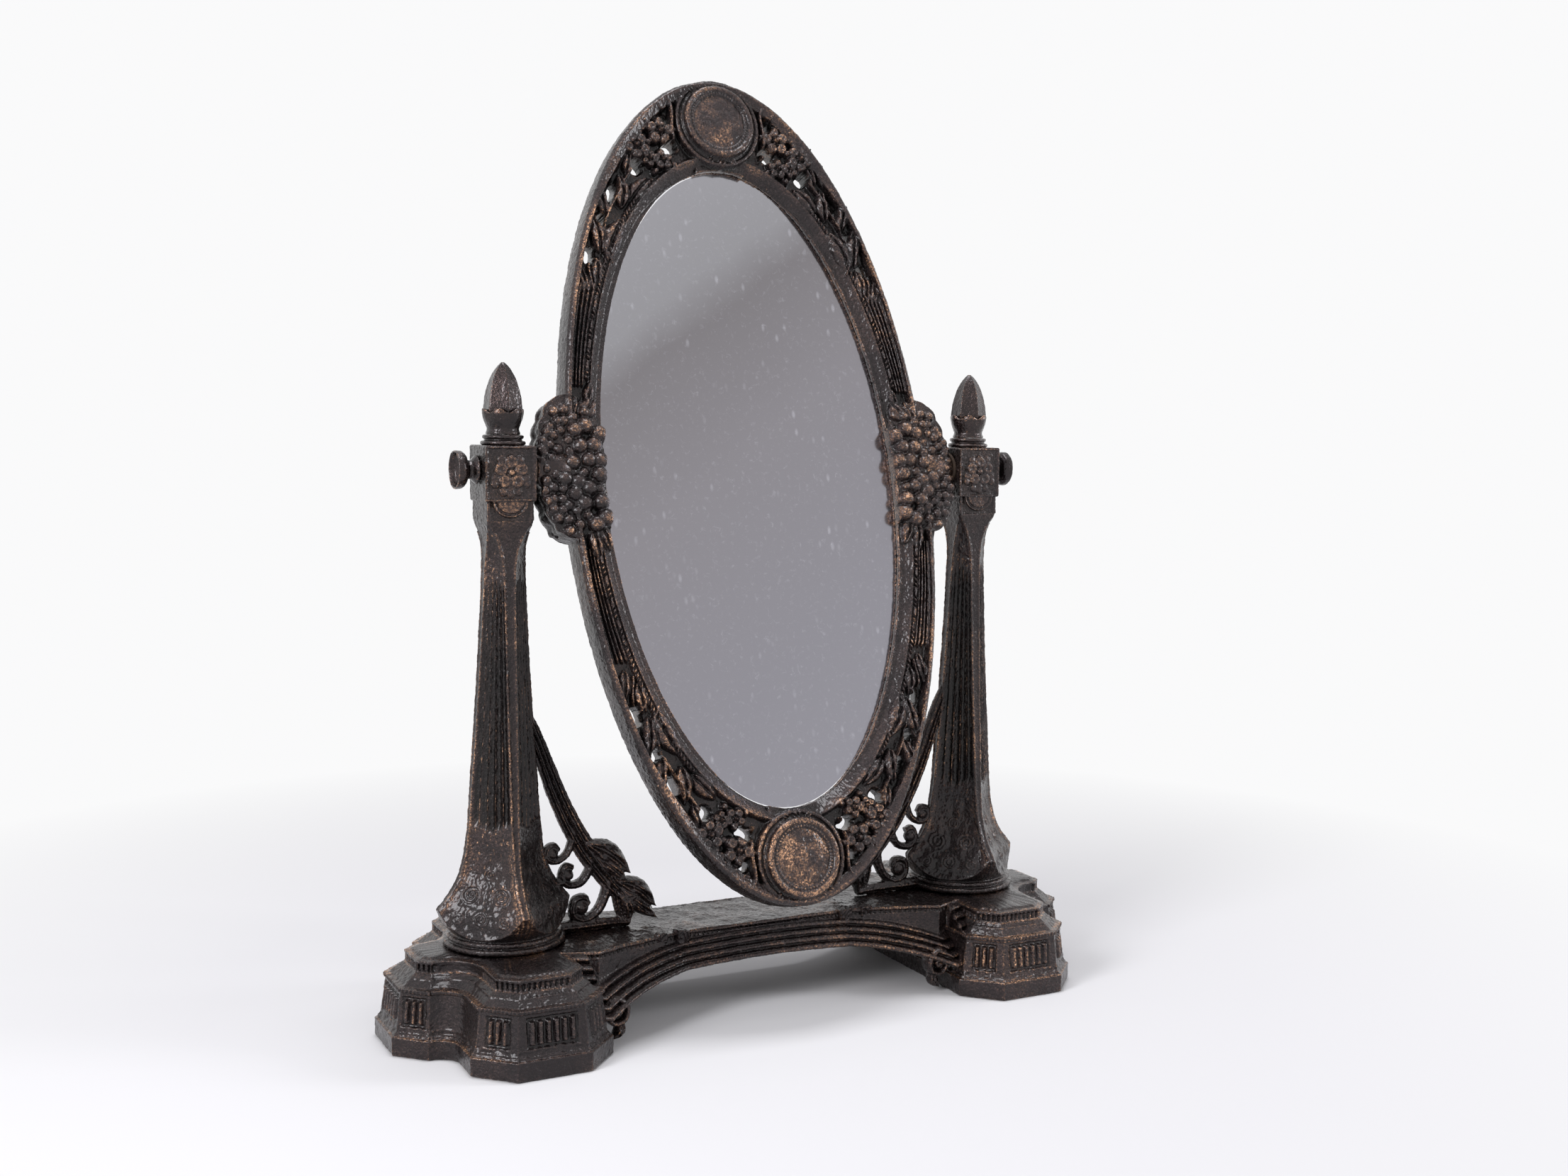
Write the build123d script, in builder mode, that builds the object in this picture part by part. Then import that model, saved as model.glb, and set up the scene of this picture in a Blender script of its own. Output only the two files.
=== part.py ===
"""Tabletop swing mirror: a cast-iron stand with two fluted posts, and an oval pierced
frame that tilts between them on two thumb screws.

Millimetres. The origin is on the table, midway between the two posts. +X runs from the
left post to the right one, +Y runs away from the viewer and +Z is up.
"""

from build123d import *
from math import asin, atan2, cos, degrees, hypot, radians, sin, sqrt
import os

os.makedirs("parts", exist_ok=True)

# ---------------------------------------------------------------- driving dimensions
# Stand as a whole
post_spacing = 250.0  # between the two post axes
pivot_height = 260.0  # thumb screw axis above the table
mirror_tilt = 16.0  # degrees, top leaning back, as the mirror is left standing

# Foot: a quatrefoil of lobes, each lobe half an octagon
foot_height = 42.0
front_reach = 70.5  # post axis to the front facet
front_lobe_width = 67.0
front_corner_cut = 16.2
side_reach = 57.5  # post axis to the outer facet
side_lobe_width = 57.0
side_corner_cut = 13.2
cove_radius = 10.0  # hollow between two lobes
cove_growth = 0.5  # how much the cove opens for each millimetre of inset
cove_angles = (0, 30, 60, 90)  # the cove is cut in three flats
foot_wall = 5.0
plinth_height = 9.0
plinth_step = 2.6  # panel set back from the plinth
panel_bottom = 11.5
panel_top = 28.5
panel_batter = 2.2  # how far the panel leans in over its height
cornice_lip = 0.8
cornice_height = 1.6
cornice_step = 2.4
slope_top = 36.0
slope_run = 6.0
dentil_top = 39.2
top_step = 4.4
reed_width = 2.4
reed_relief = 0.9
reed_margin = 3.2  # plain panel above and below the reeds
reed_spacing = 4.4
front_reeds = 5
diagonal_reeds = 3

# Bridge between the feet
bridge_top_width = 43.0
bridge_layer_step = 2.1  # each moulding stands out this much from the one above
bridge_layer_height = 3.2
bridge_layers = 5
arch_crown = 26.0  # underside height at mid span
arch_shoulder = 24.0  # underside height where the haunch begins
arch_shoulder_x = 48.0
arch_spring = 14.0  # underside height where the arch meets the foot
bridge_end = 112.0  # the mouldings run this far from mid span, into the feet
flare_start = 46.0  # the sides begin to flare out to the feet here
top_flare = 14.0  # how far the top moulding flares
flare_step = 2.5  # each lower moulding flares this much more
flare_round = 30.0
bridge_wall = 5.0
volute_radius = 6.0
volute_sides = 12
volute_inset = 5.5  # volute centre in front of the foot's inner face
volute_height = 14.0
volute_length = 8.0
clasp_x = 52.0  # leaf clasp over the edge of the bridge
clasp_width = 9.0
clasp_depth = 14.0
clasp_relief = 1.4

# Post
collar_radius = 28.5
collar_tier_height = 2.8
collar_step = 1.3
bell_radius = 32.0  # post axis to each pointed tip of the bell
bell_tip_height = 61.0
bell_waist_height = 55.0
bell_waist_radius = 30.7
bell_curve = [  # height, and distance from the post axis to the corners
    (foot_height + 2 * collar_tier_height, 36.0),
    (bell_waist_height, 34.0),
    (bell_tip_height, bell_radius),
    (64.0, 27.5),
    (68.5, 23.8),
    (75.0, 20.5),
    (84.0, 18.0),
    (96.0, 17.0),
]
shaft_curve = [
    (96.0, 17.0),
    (118.0, 15.5),
    (141.0, 13.4),
    (171.0, 11.5),
    (196.0, 10.2),
    (214.0, 9.2),
]
neck_height = 228.0
neck_radius = 8.6
neck_flat = 3.3
shoulder_height = 237.5
shoulder_width = 22.0
head_bottom = 245.7
head_top = 271.0
head_width = 24.0
head_bevel = 0.8
corner_flat = 2.2  # half width of the narrow bevelled corner of the shaft
flutes_per_face = 5
flute_land = 0.12  # flat left at each side of a flute, as a share of its pitch
flute_depth_share = 0.3  # depth of a flute, as a share of its pitch
rosette_radius = 9.0
rosette_relief = 0.8
petal_count = 5
petal_sides = 7
petal_radius = 2.9
petal_relief = 1.6
rosette_eye_radius = 2.2
crescent_radius = 7.0  # half disc on the front of the step under the head
crescent_relief = 1.0

# Scroll bracket cast on the inner side of each post
bracket_thickness = 6.4
leaf_thickness = 8.4
scroll_eye_small = 3.2
scroll_eye_large = 3.8
scroll_eye_sides = 8
band_steps = 9  # straight pieces along each edge of a scroll band
bracket_seat_start = 30.0  # the strip that rests on the bridge, from the post axis
bracket_seat_end = 60.0
bracket_seat_height = 2.4

# Finial and its collar
finial_collar_radius = 10.5
finial_collar_height = 4.8
finial_base_radius = 8.3
finial_base_height = 1.3
finial_waist_radius = 7.4
cup_rim_height = 10.4  # above the finial's underside
cup_rim_radius = 9.9
finial_sides = 6
acorn_curve = [(10.4, 9.2), (16.7, 8.5), (24.2, 6.6), (29.2, 2.9), (32.4, 0.7)]

# Screws and studs
running_clearance = 0.06
thumb_stud_radius = 3.0
knob_radius = 8.9
knob_rim = 2.0
knob_thickness = 5.0
knob_dish = 1.0
hub_radius = 6.3
hub_length = 6.0
hub_waist_radius = 4.6
finial_stud_radius = 3.0
finial_stud_length = 5.6  # inside the post head
post_bolt_radius = 4.0
post_bolt_grip = 26.0  # bolt above the foot's top face
bolt_head_across = 13.0
bolt_head_height = 5.3
bolt_washer_radius = 9.0
bolt_washer_thickness = 1.6
bolt_hole_clearance = 0.4

# Mirror frame, in its own plane: x across, y up the frame, z out of its front
frame_width = 192.0
frame_height = 407.0
frame_drop = 6.5  # oval centre below the pivot, so the mirror hangs steady
sight_width = 156.0
sight_height = 316.0
rim_front = 8.0
rim_back = 7.0
rim_width = 3.4
web_front = 3.4
lip_front = 6.4
lip_width = 7.0  # the plain sloping ring around the glass
lip_edge = 1.2  # thickness of the lip where it ends over the glass
rebate_overlap = 4.0  # how far the lip laps over the glass
roundel_offset = 183.0  # oval centre to roundel centre
roundel_radius = 21.0
roundel_front = 8.6
roundel_ring_radius = 18.2
roundel_ring_width = 3.2
roundel_ring_height = 1.7
roundel_dome_radius = 15.6
roundel_crown_radius = 8.0
roundel_dome_height = 2.0
boss_gap = 1.7  # between the frame's boss and the post head
boss_radius = 8.4
boss_bore_depth = 15.0
cluster_width = 27.0
cluster_height = 62.0
cluster_front = 6.0
cluster_centre = 95.5
berry_radius = 4.6
berry_rise = 2.4
berry_crown_radius = 3.0
berry_crown_rise = 1.2
berry_sides = 8
berry_spread = 9.4
berry_ring_count = 6
berry_row_offset = 19.0  # a pair of berries above and below the ring
leaf_relief = 2.4
flower_relief = 3.0
flower_sides = 10

# Glass and what holds it
glass_thickness = 3.0
glass_clearance = 0.5
card_thickness = 1.0
plate_thickness = 0.8
clip_angles = [40, 140, 220, 320]
clip_length = 14.0
clip_width = 7.0
clip_thickness = 1.0
clip_seat = 4.6  # clip screw outside the rebate
clip_screw_radius = 1.25
clip_screw_length = 6.0
clip_hole_clearance = 0.2  # the clip turns on its screw
clip_head_radius = 2.7
clip_head_height = 1.5
friction_washer_radius = 8.0
friction_washer_play = 0.15

# ---------------------------------------------------------------- worked-out places
left_axis = -post_spacing / 2
front_lobe_half = front_lobe_width / 2
side_lobe_half = side_lobe_width / 2
foot_inner_face = post_spacing / 2 - front_lobe_half
ceiling_height = foot_height - foot_wall
collar_top = foot_height + 2 * collar_tier_height
head_half = head_width / 2
head_inner_face = post_spacing / 2 - head_half
head_outer_face = post_spacing / 2 + head_half
corner_shrink = 2 - sqrt(2)  # an inset of 1 shortens an octagon's corner cut by this
web_back = glass_thickness + card_thickness + plate_thickness
boss_face = head_inner_face - boss_gap
tilt = radians(mirror_tilt)
mirror_plane = Plane(
    (0, 0, pivot_height), x_dir=(1, 0, 0), z_dir=(0, -cos(tilt), sin(tilt))
)
oval_centre = (0, -frame_drop)


def upright_plane(x, height):
    """A plane facing the viewer, whose origin is at x and height: its y runs upwards."""
    return Plane((x, 0, height), x_dir=(1, 0, 0), z_dir=(0, -1, 0))


def frame_layer(depth):
    """The mirror's own plane, moved forward by depth."""
    return mirror_plane.offset(depth)


def near(value, target):
    """True where a coordinate lies on the line that is meant."""
    return abs(value - target) < 0.01


# ---------------------------------------------------------------- base casting
def foot_section(height, inset):
    """One level of the left foot, with every face moved in by inset.

    The inner lobe is left out, because the bridge takes its place.
    """
    half_x = front_lobe_half - inset
    half_y = front_reach - inset
    arm_x = side_reach - inset
    arm_y = side_lobe_half - inset
    front_cut = front_corner_cut - corner_shrink * inset
    side_cut = side_corner_cut - corner_shrink * inset
    cove = cove_radius + cove_growth * inset
    half_outline = [
        (half_x, half_y - front_cut),
        (half_x - front_cut, half_y),
        (front_cut - half_x, half_y),
        (-half_x, half_y - front_cut),
    ]
    for angle in cove_angles:
        cove_x = -half_x - cove * (1 - cos(radians(angle)))
        cove_y = arm_y + cove * (1 - sin(radians(angle)))
        half_outline.append((cove_x, cove_y))
    half_outline.append((side_cut - arm_x, arm_y))
    half_outline.append((-arm_x, arm_y - side_cut))
    mirrored = [(x, -y) for x, y in reversed(half_outline)]
    with BuildSketch(Plane((left_axis, 0, height))) as level:
        with BuildLine():
            Polyline(*half_outline, *mirrored, close=True)
        make_face()
    return level.sketch


def stack_foot(levels, mode=Mode.ADD):
    """Join each pair of neighbouring levels, given as (height, inset)."""
    for lower, upper in zip(levels, levels[1:]):
        if upper[0] > lower[0]:
            loft([foot_section(*lower), foot_section(*upper)], ruled=True, mode=mode)


panel_inset = plinth_step + panel_batter
cornice_inset = panel_inset - cornice_lip
slope_inset = panel_inset + cornice_step
dentil_inset = slope_inset + slope_run
foot_levels = [
    (0, 0),
    (plinth_height, 0),
    (plinth_height, plinth_step / 2),
    (panel_bottom, plinth_step),
    (panel_top, panel_inset),
    (panel_top, cornice_inset),
    (panel_top + cornice_height, cornice_inset),
    (panel_top + cornice_height, slope_inset),
    (slope_top, dentil_inset),
    (dentil_top, dentil_inset),
    (dentil_top, dentil_inset + top_step / 2),
    (foot_height, dentil_inset + top_step),
]
cavity_levels = [
    (0, foot_wall),
    (panel_top, panel_inset + foot_wall),
    (ceiling_height, dentil_inset + foot_wall),
]

# middle point, facing angle and number of reeds of each outer facet of the left foot
facets = [(-side_reach, 0, 180, front_reeds)]
for side in (1, -1):
    facets.append((0, side * front_reach, side * 90, front_reeds))
    for hand in (1, -1):
        facet_x = hand * (front_lobe_half - front_corner_cut / 2)
        facet_y = side * (front_reach - front_corner_cut / 2)
        facets.append((facet_x, facet_y, side * (90 - 45 * hand), diagonal_reeds))
    facet_x = -(side_reach - side_corner_cut / 2)
    facet_y = side * (side_lobe_half - side_corner_cut / 2)
    facets.append((facet_x, facet_y, side * 135, diagonal_reeds))

panel_lean = degrees(atan2(panel_batter, panel_top - panel_bottom))
reed_length = panel_top - panel_bottom - 2 * reed_margin
reed_middle = (panel_top + panel_bottom) / 2
reed_inset = plinth_step + panel_batter / 2

with BuildPart() as left_foot:
    stack_foot(foot_levels)
    for facet_x, facet_y, facing, reeds in facets:
        reed_x = left_axis + facet_x - reed_inset * cos(radians(facing))
        reed_y = facet_y - reed_inset * sin(radians(facing))
        standing = Location((reed_x, reed_y, reed_middle), (0, 0, facing))
        with Locations(standing * Location((0, 0, 0), (0, -panel_lean, 0))):
            with GridLocations(1, reed_spacing, 1, reeds):
                Box(2 * reed_relief, reed_width, reed_length)

with BuildPart() as left_cavity:
    stack_foot(cavity_levels)


def arch_line(rise):
    """Underside of the bridge, lifted by rise, drawn from the left foot to the right."""
    left_shoulder = Vector(-arch_shoulder_x, arch_shoulder + rise)
    right_shoulder = Vector(arch_shoulder_x, arch_shoulder + rise)
    left_spring = Vector(-foot_inner_face, arch_spring + rise)
    right_spring = Vector(foot_inner_face, arch_spring + rise)
    left_end = Vector(-bridge_end, arch_spring + rise)
    right_end = Vector(bridge_end, arch_spring + rise)
    crown = ThreePointArc(left_shoulder, (0, arch_crown + rise), right_shoulder)
    TangentArc(left_shoulder, left_spring, tangent=(crown % 0) * -1)
    TangentArc(right_shoulder, right_spring, tangent=crown % 1)
    Line(left_end, left_spring)
    Line(right_spring, right_end)
    return left_end, right_end


def bridge_plan(half_width, flare, height):
    """Outline of the bridge seen from above: parallel sides that flare to the feet."""
    corners = []
    for side, hands in ((1, (-1, 1)), (-1, (1, -1))):
        wide = side * (half_width + flare)
        narrow = side * half_width
        corners.append((hands[0] * bridge_end, wide))
        corners.append((hands[0] * foot_inner_face, wide))
        corners.append((hands[0] * flare_start, narrow))
        corners.append((hands[1] * flare_start, narrow))
        corners.append((hands[1] * foot_inner_face, wide))
        corners.append((hands[1] * bridge_end, wide))
    with BuildSketch(Plane.XY.offset(height)) as plan:
        with BuildLine():
            Polyline(*corners, close=True)
        make_face()
        bends = plan.vertices().filter_by(lambda v: near(abs(v.X), flare_start))
        fillet(bends, flare_round)
    return plan.sketch


def bridge_moulding(number):
    """One moulding of the bridge. Number 0 runs along the arch and is the widest."""
    above = bridge_layers - 1 - number
    half_width = bridge_top_width / 2 + above * bridge_layer_step
    with BuildPart() as moulding:
        with BuildSketch(Plane.XZ):
            with BuildLine():
                lower_left, lower_right = arch_line(number * bridge_layer_height)
                if above:
                    upper_left, upper_right = arch_line((number + 1) * bridge_layer_height)
                else:
                    upper_left = Vector(-bridge_end, foot_height)
                    upper_right = Vector(bridge_end, foot_height)
                    Line(upper_left, upper_right)
                Line(lower_left, upper_left)
                Line(lower_right, upper_right)
            make_face()
        extrude(amount=front_reach, both=True)
        plan = bridge_plan(half_width, top_flare + above * flare_step, 0)
        extrude(plan, amount=foot_height, mode=Mode.INTERSECT)
    return moulding.part


mouldings = [bridge_moulding(number) for number in range(bridge_layers)]
channel_half = bridge_top_width / 2 + bridge_layer_step - bridge_wall
volute_x = foot_inner_face - volute_inset
volute_end = bridge_top_width / 2 + top_flare + bridge_layers * bridge_layer_step
half_top = bridge_top_width / 2
clasp_lean = (bridge_layers - 1) * bridge_layer_step + clasp_relief

with BuildPart() as base_casting:
    add(left_foot.part)
    add(left_foot.part.mirror(Plane.YZ))
    for moulding in mouldings:
        add(moulding)
    # scroll volutes where the arch runs into the feet
    for side in (1, -1):
        for hand in (1, -1):
            volute_y = side * (volute_end - volute_length / 2)
            with BuildSketch(Plane.XZ.offset(-volute_y)):
                with Locations((hand * volute_x, volute_height)):
                    RegularPolygon(volute_radius, volute_sides)
            extrude(amount=volute_length / 2, both=True)
    # leaf clasps folded over both edges of the bridge
    for side in (1, -1):
        for hand in (1, -1):
            with BuildSketch(Plane.YZ.offset(hand * clasp_x)):
                with BuildLine():
                    Polyline(
                        (side * (half_top - clasp_width), foot_height - clasp_relief),
                        (side * (half_top - clasp_width), foot_height + clasp_relief / 2),
                        (side * half_top, foot_height + clasp_relief),
                        (side * (half_top + clasp_relief), foot_height),
                        (side * (half_top + clasp_lean), foot_height - clasp_depth),
                        (side * (half_top - clasp_relief), foot_height - clasp_depth),
                        close=True,
                    )
                make_face()
            extrude(amount=clasp_width / 2, both=True)
    # hollow underside: both feet, and the channel that joins them
    add(left_cavity.part, mode=Mode.SUBTRACT)
    add(left_cavity.part.mirror(Plane.YZ), mode=Mode.SUBTRACT)
    channel_floor = arch_spring + bridge_layer_height
    channel = bridge_plan(channel_half, top_flare, channel_floor)
    extrude(channel, amount=ceiling_height - channel_floor, mode=Mode.SUBTRACT)
    with Locations((left_axis, 0, foot_height), (-left_axis, 0, foot_height)):
        Cylinder(
            post_bolt_radius + bolt_hole_clearance, 3 * foot_wall, mode=Mode.SUBTRACT
        )
base_casting.part.label = "base_casting"
export_step(base_casting.part, "parts/base_casting.step")


# ---------------------------------------------------------------- posts
def post_outline(reach, flat, fluted):
    """Corners of the post's section: a square set cornerwise, its corners cut flat."""
    outline = []
    for quarter in range(4):
        start = Vector(reach, flat).rotate(Axis.Z, 90 * quarter)
        end = Vector(flat, reach).rotate(Axis.Z, 90 * quarter)
        outline.append(start)
        if fluted:
            pitch = (end - start) * (1 / flutes_per_face)
            sink = (start + end).normalized() * (-flute_depth_share * pitch.length)
            for number in range(flutes_per_face):
                near_side = start + pitch * (number + flute_land)
                far_side = start + pitch * (number + 1 - flute_land)
                outline.append(near_side)
                outline.append((near_side + far_side) * 0.5 + sink)
                outline.append(far_side)
        outline.append(end)
    return outline


def post_section(height, reach, flat=corner_flat, fluted=False):
    """The post's section as a face at its height on the left post."""
    with BuildSketch(Plane((left_axis, 0, height))) as section:
        with BuildLine():
            Polyline(*post_outline(reach, flat, fluted), close=True)
        make_face()
    return section.sketch


def tapered_band(path, widths):
    """A band along a smooth curve through path, as wide at each point as widths says."""
    with BuildLine() as middle:
        curve = Spline(*path)
    upper_edge = []
    lower_edge = []
    for step in range(band_steps + 1):
        share = step / band_steps
        place = share * (len(widths) - 1)
        index = min(int(place), len(widths) - 2)
        width = widths[index] + (widths[index + 1] - widths[index]) * (place - index)
        along = curve % share
        across = Vector(-along.Y, along.X) * (width / 2)
        point = curve @ share
        upper_edge.append((point.X + across.X, point.Y + across.Y))
        lower_edge.append((point.X - across.X, point.Y - across.Y))
    Polygon(*lower_edge, *reversed(upper_edge), align=None)


with BuildPart() as bell:
    loft([post_section(height, reach) for height, reach in bell_curve], ruled=True)
    with BuildSketch(upright_plane(left_axis, 0)):
        with BuildLine():
            lower_point = Vector(collar_radius - collar_step, collar_top)
            waist_point = Vector(bell_waist_radius, bell_waist_height)
            tip_point = Vector(bell_radius, bell_tip_height)
            Polyline(
                lower_point,
                waist_point,
                tip_point,
                (bell_radius, bell_curve[-1][0]),
                (0, bell_curve[-1][0]),
                (0, collar_top),
                lower_point,
            )
        make_face()
    revolve(axis=Axis((left_axis, 0, 0), (0, 0, 1)), mode=Mode.INTERSECT)

with BuildPart() as flutes:
    for (lower_z, lower_reach), (upper_z, upper_reach) in zip(shaft_curve, shaft_curve[1:]):
        lower = post_section(lower_z, lower_reach, fluted=True)
        upper = post_section(upper_z, upper_reach, fluted=True)
        loft([lower, upper], ruled=True)

with BuildPart() as bracket:
    # leaves stand a little prouder than the scrolls
    with BuildSketch(upright_plane(left_axis, 0)):
        tapered_band([(37, 84), (49.5, 77.2), (57, 71.5), (62.2, 67.5)], [7, 8.5, 5, 0.8])
        tapered_band([(52, 64), (61, 55.5), (68, 49.5), (75.9, 45)], [7, 9, 7.5, 0.9])
        tapered_band([(56.5, 61), (57.5, 51), (61, 43.5)], [4, 6.5, 2])
    extrude(amount=leaf_thickness / 2, both=True)
    with BuildSketch(upright_plane(left_axis, 0)):
        stem = [(9, 152), (13.6, 140), (22.5, 116.4), (32, 94.8), (40, 80), (47, 70.5), (54, 62)]
        tapered_band(stem, [3, 6.5, 7.4, 7.4, 7.6, 7.5, 7])
        tapered_band([(33, 94), (32.5, 84), (29, 78), (24, 76), (17, 79)], [5, 4, 3.6, 3.6, 5])
        tapered_band([(43, 78), (40.5, 70), (34, 66), (29, 66), (24, 68)], [6, 4.4, 3.6, 3.6, 5])
        tapered_band([(51, 66), (48.5, 57), (44.5, 50), (38.5, 46.6), (33, 49), (33.4, 54)], [7, 5, 4, 4, 4, 4])
        with Locations((24.1, 80.7), (31.5, 70.6)):
            RegularPolygon(scroll_eye_small, scroll_eye_sides)
        with Locations((38, 53)):
            RegularPolygon(scroll_eye_large, scroll_eye_sides)
        seat_length = bracket_seat_end - bracket_seat_start
        with Locations((bracket_seat_start, foot_height)):
            Rectangle(seat_length, bracket_seat_height, align=Align.MIN)
    extrude(amount=bracket_thickness / 2, both=True)

head_middle = (head_bottom + head_top) / 2
with BuildPart() as head:
    neck_start = post_section(shaft_curve[-1][0], shaft_curve[-1][1])
    neck = post_section(neck_height, neck_radius, neck_flat)
    shoulder_reach = shoulder_width / 2
    shoulder = post_section(shoulder_height, shoulder_reach, shoulder_reach - head_bevel)
    loft([neck_start, neck], ruled=True)
    loft([neck, shoulder], ruled=True)
    extrude(shoulder, amount=head_bottom - shoulder_height)
    block = post_section(head_bottom, head_half, head_half - head_bevel)
    extrude(block, amount=head_top - head_bottom)
    # rosette on the front and the back of the block, half disc under it
    for facing in (1, -1):
        block_face = Plane(
            (left_axis, -facing * head_half, pivot_height),
            x_dir=(facing, 0, 0),
            z_dir=(0, -facing, 0),
        )
        with BuildSketch(block_face):
            with PolarLocations(rosette_radius - petal_radius, petal_count, 90):
                RegularPolygon(petal_radius, petal_sides)
        extrude(amount=petal_relief)
        with BuildSketch(block_face):
            RegularPolygon(rosette_eye_radius, scroll_eye_sides)
        extrude(amount=2 * rosette_relief)
        step_face = -facing * shoulder_width / 2
        with Locations((left_axis, step_face, (shoulder_height + head_bottom) / 2)):
            Box(
                2 * crescent_radius,
                2 * crescent_relief,
                head_bottom - shoulder_height,
            )

bolt_tip = foot_height + post_bolt_grip
finial_stud_tip = head_top - finial_stud_length
with BuildPart() as left_post:
    # two round tiers stand on the foot
    for tier in range(2):
        tier_bottom = foot_height + tier * collar_tier_height
        with BuildSketch(Plane((left_axis, 0, tier_bottom))):
            Circle(collar_radius - tier * collar_step)
        extrude(amount=collar_tier_height)
    add(bell.part)
    add(flutes.part)
    add(bracket.part)
    add(head.part)
    # thumb screw bore, and tapped bores for the finial and the foot bolt
    with Locations(Location((left_axis, 0, pivot_height), (0, 90, 0))):
        Cylinder(
            thumb_stud_radius + running_clearance, 2 * head_width, mode=Mode.SUBTRACT
        )
    with Locations((left_axis, 0, finial_stud_tip - running_clearance)):
        Cylinder(
            finial_stud_radius + running_clearance,
            head_width,
            align=(Align.CENTER, Align.CENTER, Align.MIN),
            mode=Mode.SUBTRACT,
        )
    with Locations((left_axis, 0, bolt_tip + bolt_hole_clearance)):
        Cylinder(
            post_bolt_radius + running_clearance,
            foot_height,
            align=(Align.CENTER, Align.CENTER, Align.MAX),
            mode=Mode.SUBTRACT,
        )
left_post.part.label = "left_post"
export_step(left_post.part, "parts/left_post.step")

right_post = left_post.part.mirror(Plane.YZ)
right_post.label = "right_post"
export_step(right_post, "parts/right_post.step")


# ---------------------------------------------------------------- finials
with BuildPart() as left_finial_collar:
    with Locations((left_axis, 0, head_top)):
        Cylinder(
            finial_collar_radius,
            finial_collar_height,
            align=(Align.CENTER, Align.CENTER, Align.MIN),
        )
        Cylinder(
            finial_stud_radius + running_clearance,
            3 * finial_collar_height,
            mode=Mode.SUBTRACT,
        )
left_finial_collar.part.label = "left_finial_collar"
export_step(left_finial_collar.part, "parts/left_finial_collar.step")

finial_bottom = head_top + finial_collar_height
with BuildPart() as left_finial:
    with BuildSketch(upright_plane(left_axis, finial_bottom)):
        with BuildLine():
            Polyline(
                (0, cup_rim_height),
                (0, -finial_collar_height - finial_stud_length),
                (finial_stud_radius, -finial_collar_height - finial_stud_length),
                (finial_stud_radius, 0),
                (finial_base_radius, 0),
                (finial_base_radius, finial_base_height),
                (finial_waist_radius, 2 * finial_base_height),
                (cup_rim_radius, cup_rim_height),
                (0, cup_rim_height),
            )
        make_face()
    revolve(axis=Axis((left_axis, 0, 0), (0, 0, 1)))
    # six-sided acorn in the cup
    for (lower_z, lower_reach), (upper_z, upper_reach) in zip(acorn_curve, acorn_curve[1:]):
        with BuildSketch(Plane((left_axis, 0, finial_bottom + lower_z))) as lower:
            RegularPolygon(lower_reach, finial_sides, rotation=30)
        with BuildSketch(Plane((left_axis, 0, finial_bottom + upper_z))) as upper:
            RegularPolygon(upper_reach, finial_sides, rotation=30)
        loft(ruled=True)
left_finial.part.label = "left_finial"
export_step(left_finial.part, "parts/left_finial.step")

for name, piece in (("collar", left_finial_collar), ("", left_finial)):
    label = "right_finial_collar" if name else "right_finial"
    right_piece = piece.part.mirror(Plane.YZ)
    right_piece.label = label
    export_step(right_piece, f"parts/{label}.step")


# ---------------------------------------------------------------- foot bolts
washer_top = ceiling_height
bolt_seat = washer_top - bolt_washer_thickness
for side, hand in (("left", -1), ("right", 1)):
    bolt_x = hand * post_spacing / 2
    with BuildPart() as post_washer:
        with BuildSketch(Plane((bolt_x, 0, bolt_seat))):
            Circle(bolt_washer_radius)
            Circle(post_bolt_radius + bolt_hole_clearance, mode=Mode.SUBTRACT)
        extrude(amount=bolt_washer_thickness)
    post_washer.part.label = f"{side}_post_washer"
    export_step(post_washer.part, f"parts/{side}_post_washer.step")

    with BuildPart() as post_bolt:
        with BuildSketch(Plane((bolt_x, 0, bolt_seat - bolt_head_height))):
            RegularPolygon(bolt_head_across / 2, 6, major_radius=False)
        extrude(amount=bolt_head_height)
        with BuildSketch(Plane((bolt_x, 0, bolt_seat))):
            Circle(post_bolt_radius)
        extrude(amount=bolt_tip - bolt_seat)
    post_bolt.part.label = f"{side}_post_bolt"
    export_step(post_bolt.part, f"parts/{side}_post_bolt.step")


# ---------------------------------------------------------------- thumb screws
stud_tip = boss_face - boss_bore_depth + boss_gap / 2
knob_back = head_outer_face + hub_length
knob_front = knob_back + knob_thickness
for side, hand in (("left", -1), ("right", 1)):
    with BuildPart() as thumb_screw:
        with BuildSketch(Plane((0, 0, pivot_height), x_dir=(hand, 0, 0), z_dir=(0, -hand, 0))):
            with BuildLine():
                Polyline(
                    (knob_front - knob_dish, 0),
                    (stud_tip, 0),
                    (stud_tip, thumb_stud_radius),
                    (head_outer_face, thumb_stud_radius),
                    (head_outer_face, hub_radius),
                    (knob_back, hub_waist_radius),
                    (knob_back + knob_rim, knob_radius),
                    (knob_front, knob_radius),
                    (knob_front - knob_dish, 0),
                )
            make_face()
        revolve(axis=Axis((0, 0, pivot_height), (1, 0, 0)))
    thumb_screw.part.label = f"{side}_thumb_screw"
    export_step(thumb_screw.part, f"parts/{side}_thumb_screw.step")

    washer_inner = boss_face + friction_washer_play / 2
    washer_outer = head_inner_face - friction_washer_play / 2
    with BuildPart() as friction_washer:
        with BuildSketch(Plane.YZ.offset(hand * (washer_inner + washer_outer) / 2)):
            with Locations((0, pivot_height)):
                Circle(friction_washer_radius)
                Circle(thumb_stud_radius + bolt_hole_clearance, mode=Mode.SUBTRACT)
        extrude(amount=(washer_outer - washer_inner) / 2, both=True)
    friction_washer.part.label = f"{side}_friction_washer"
    export_step(friction_washer.part, f"parts/{side}_friction_washer.step")


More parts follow.
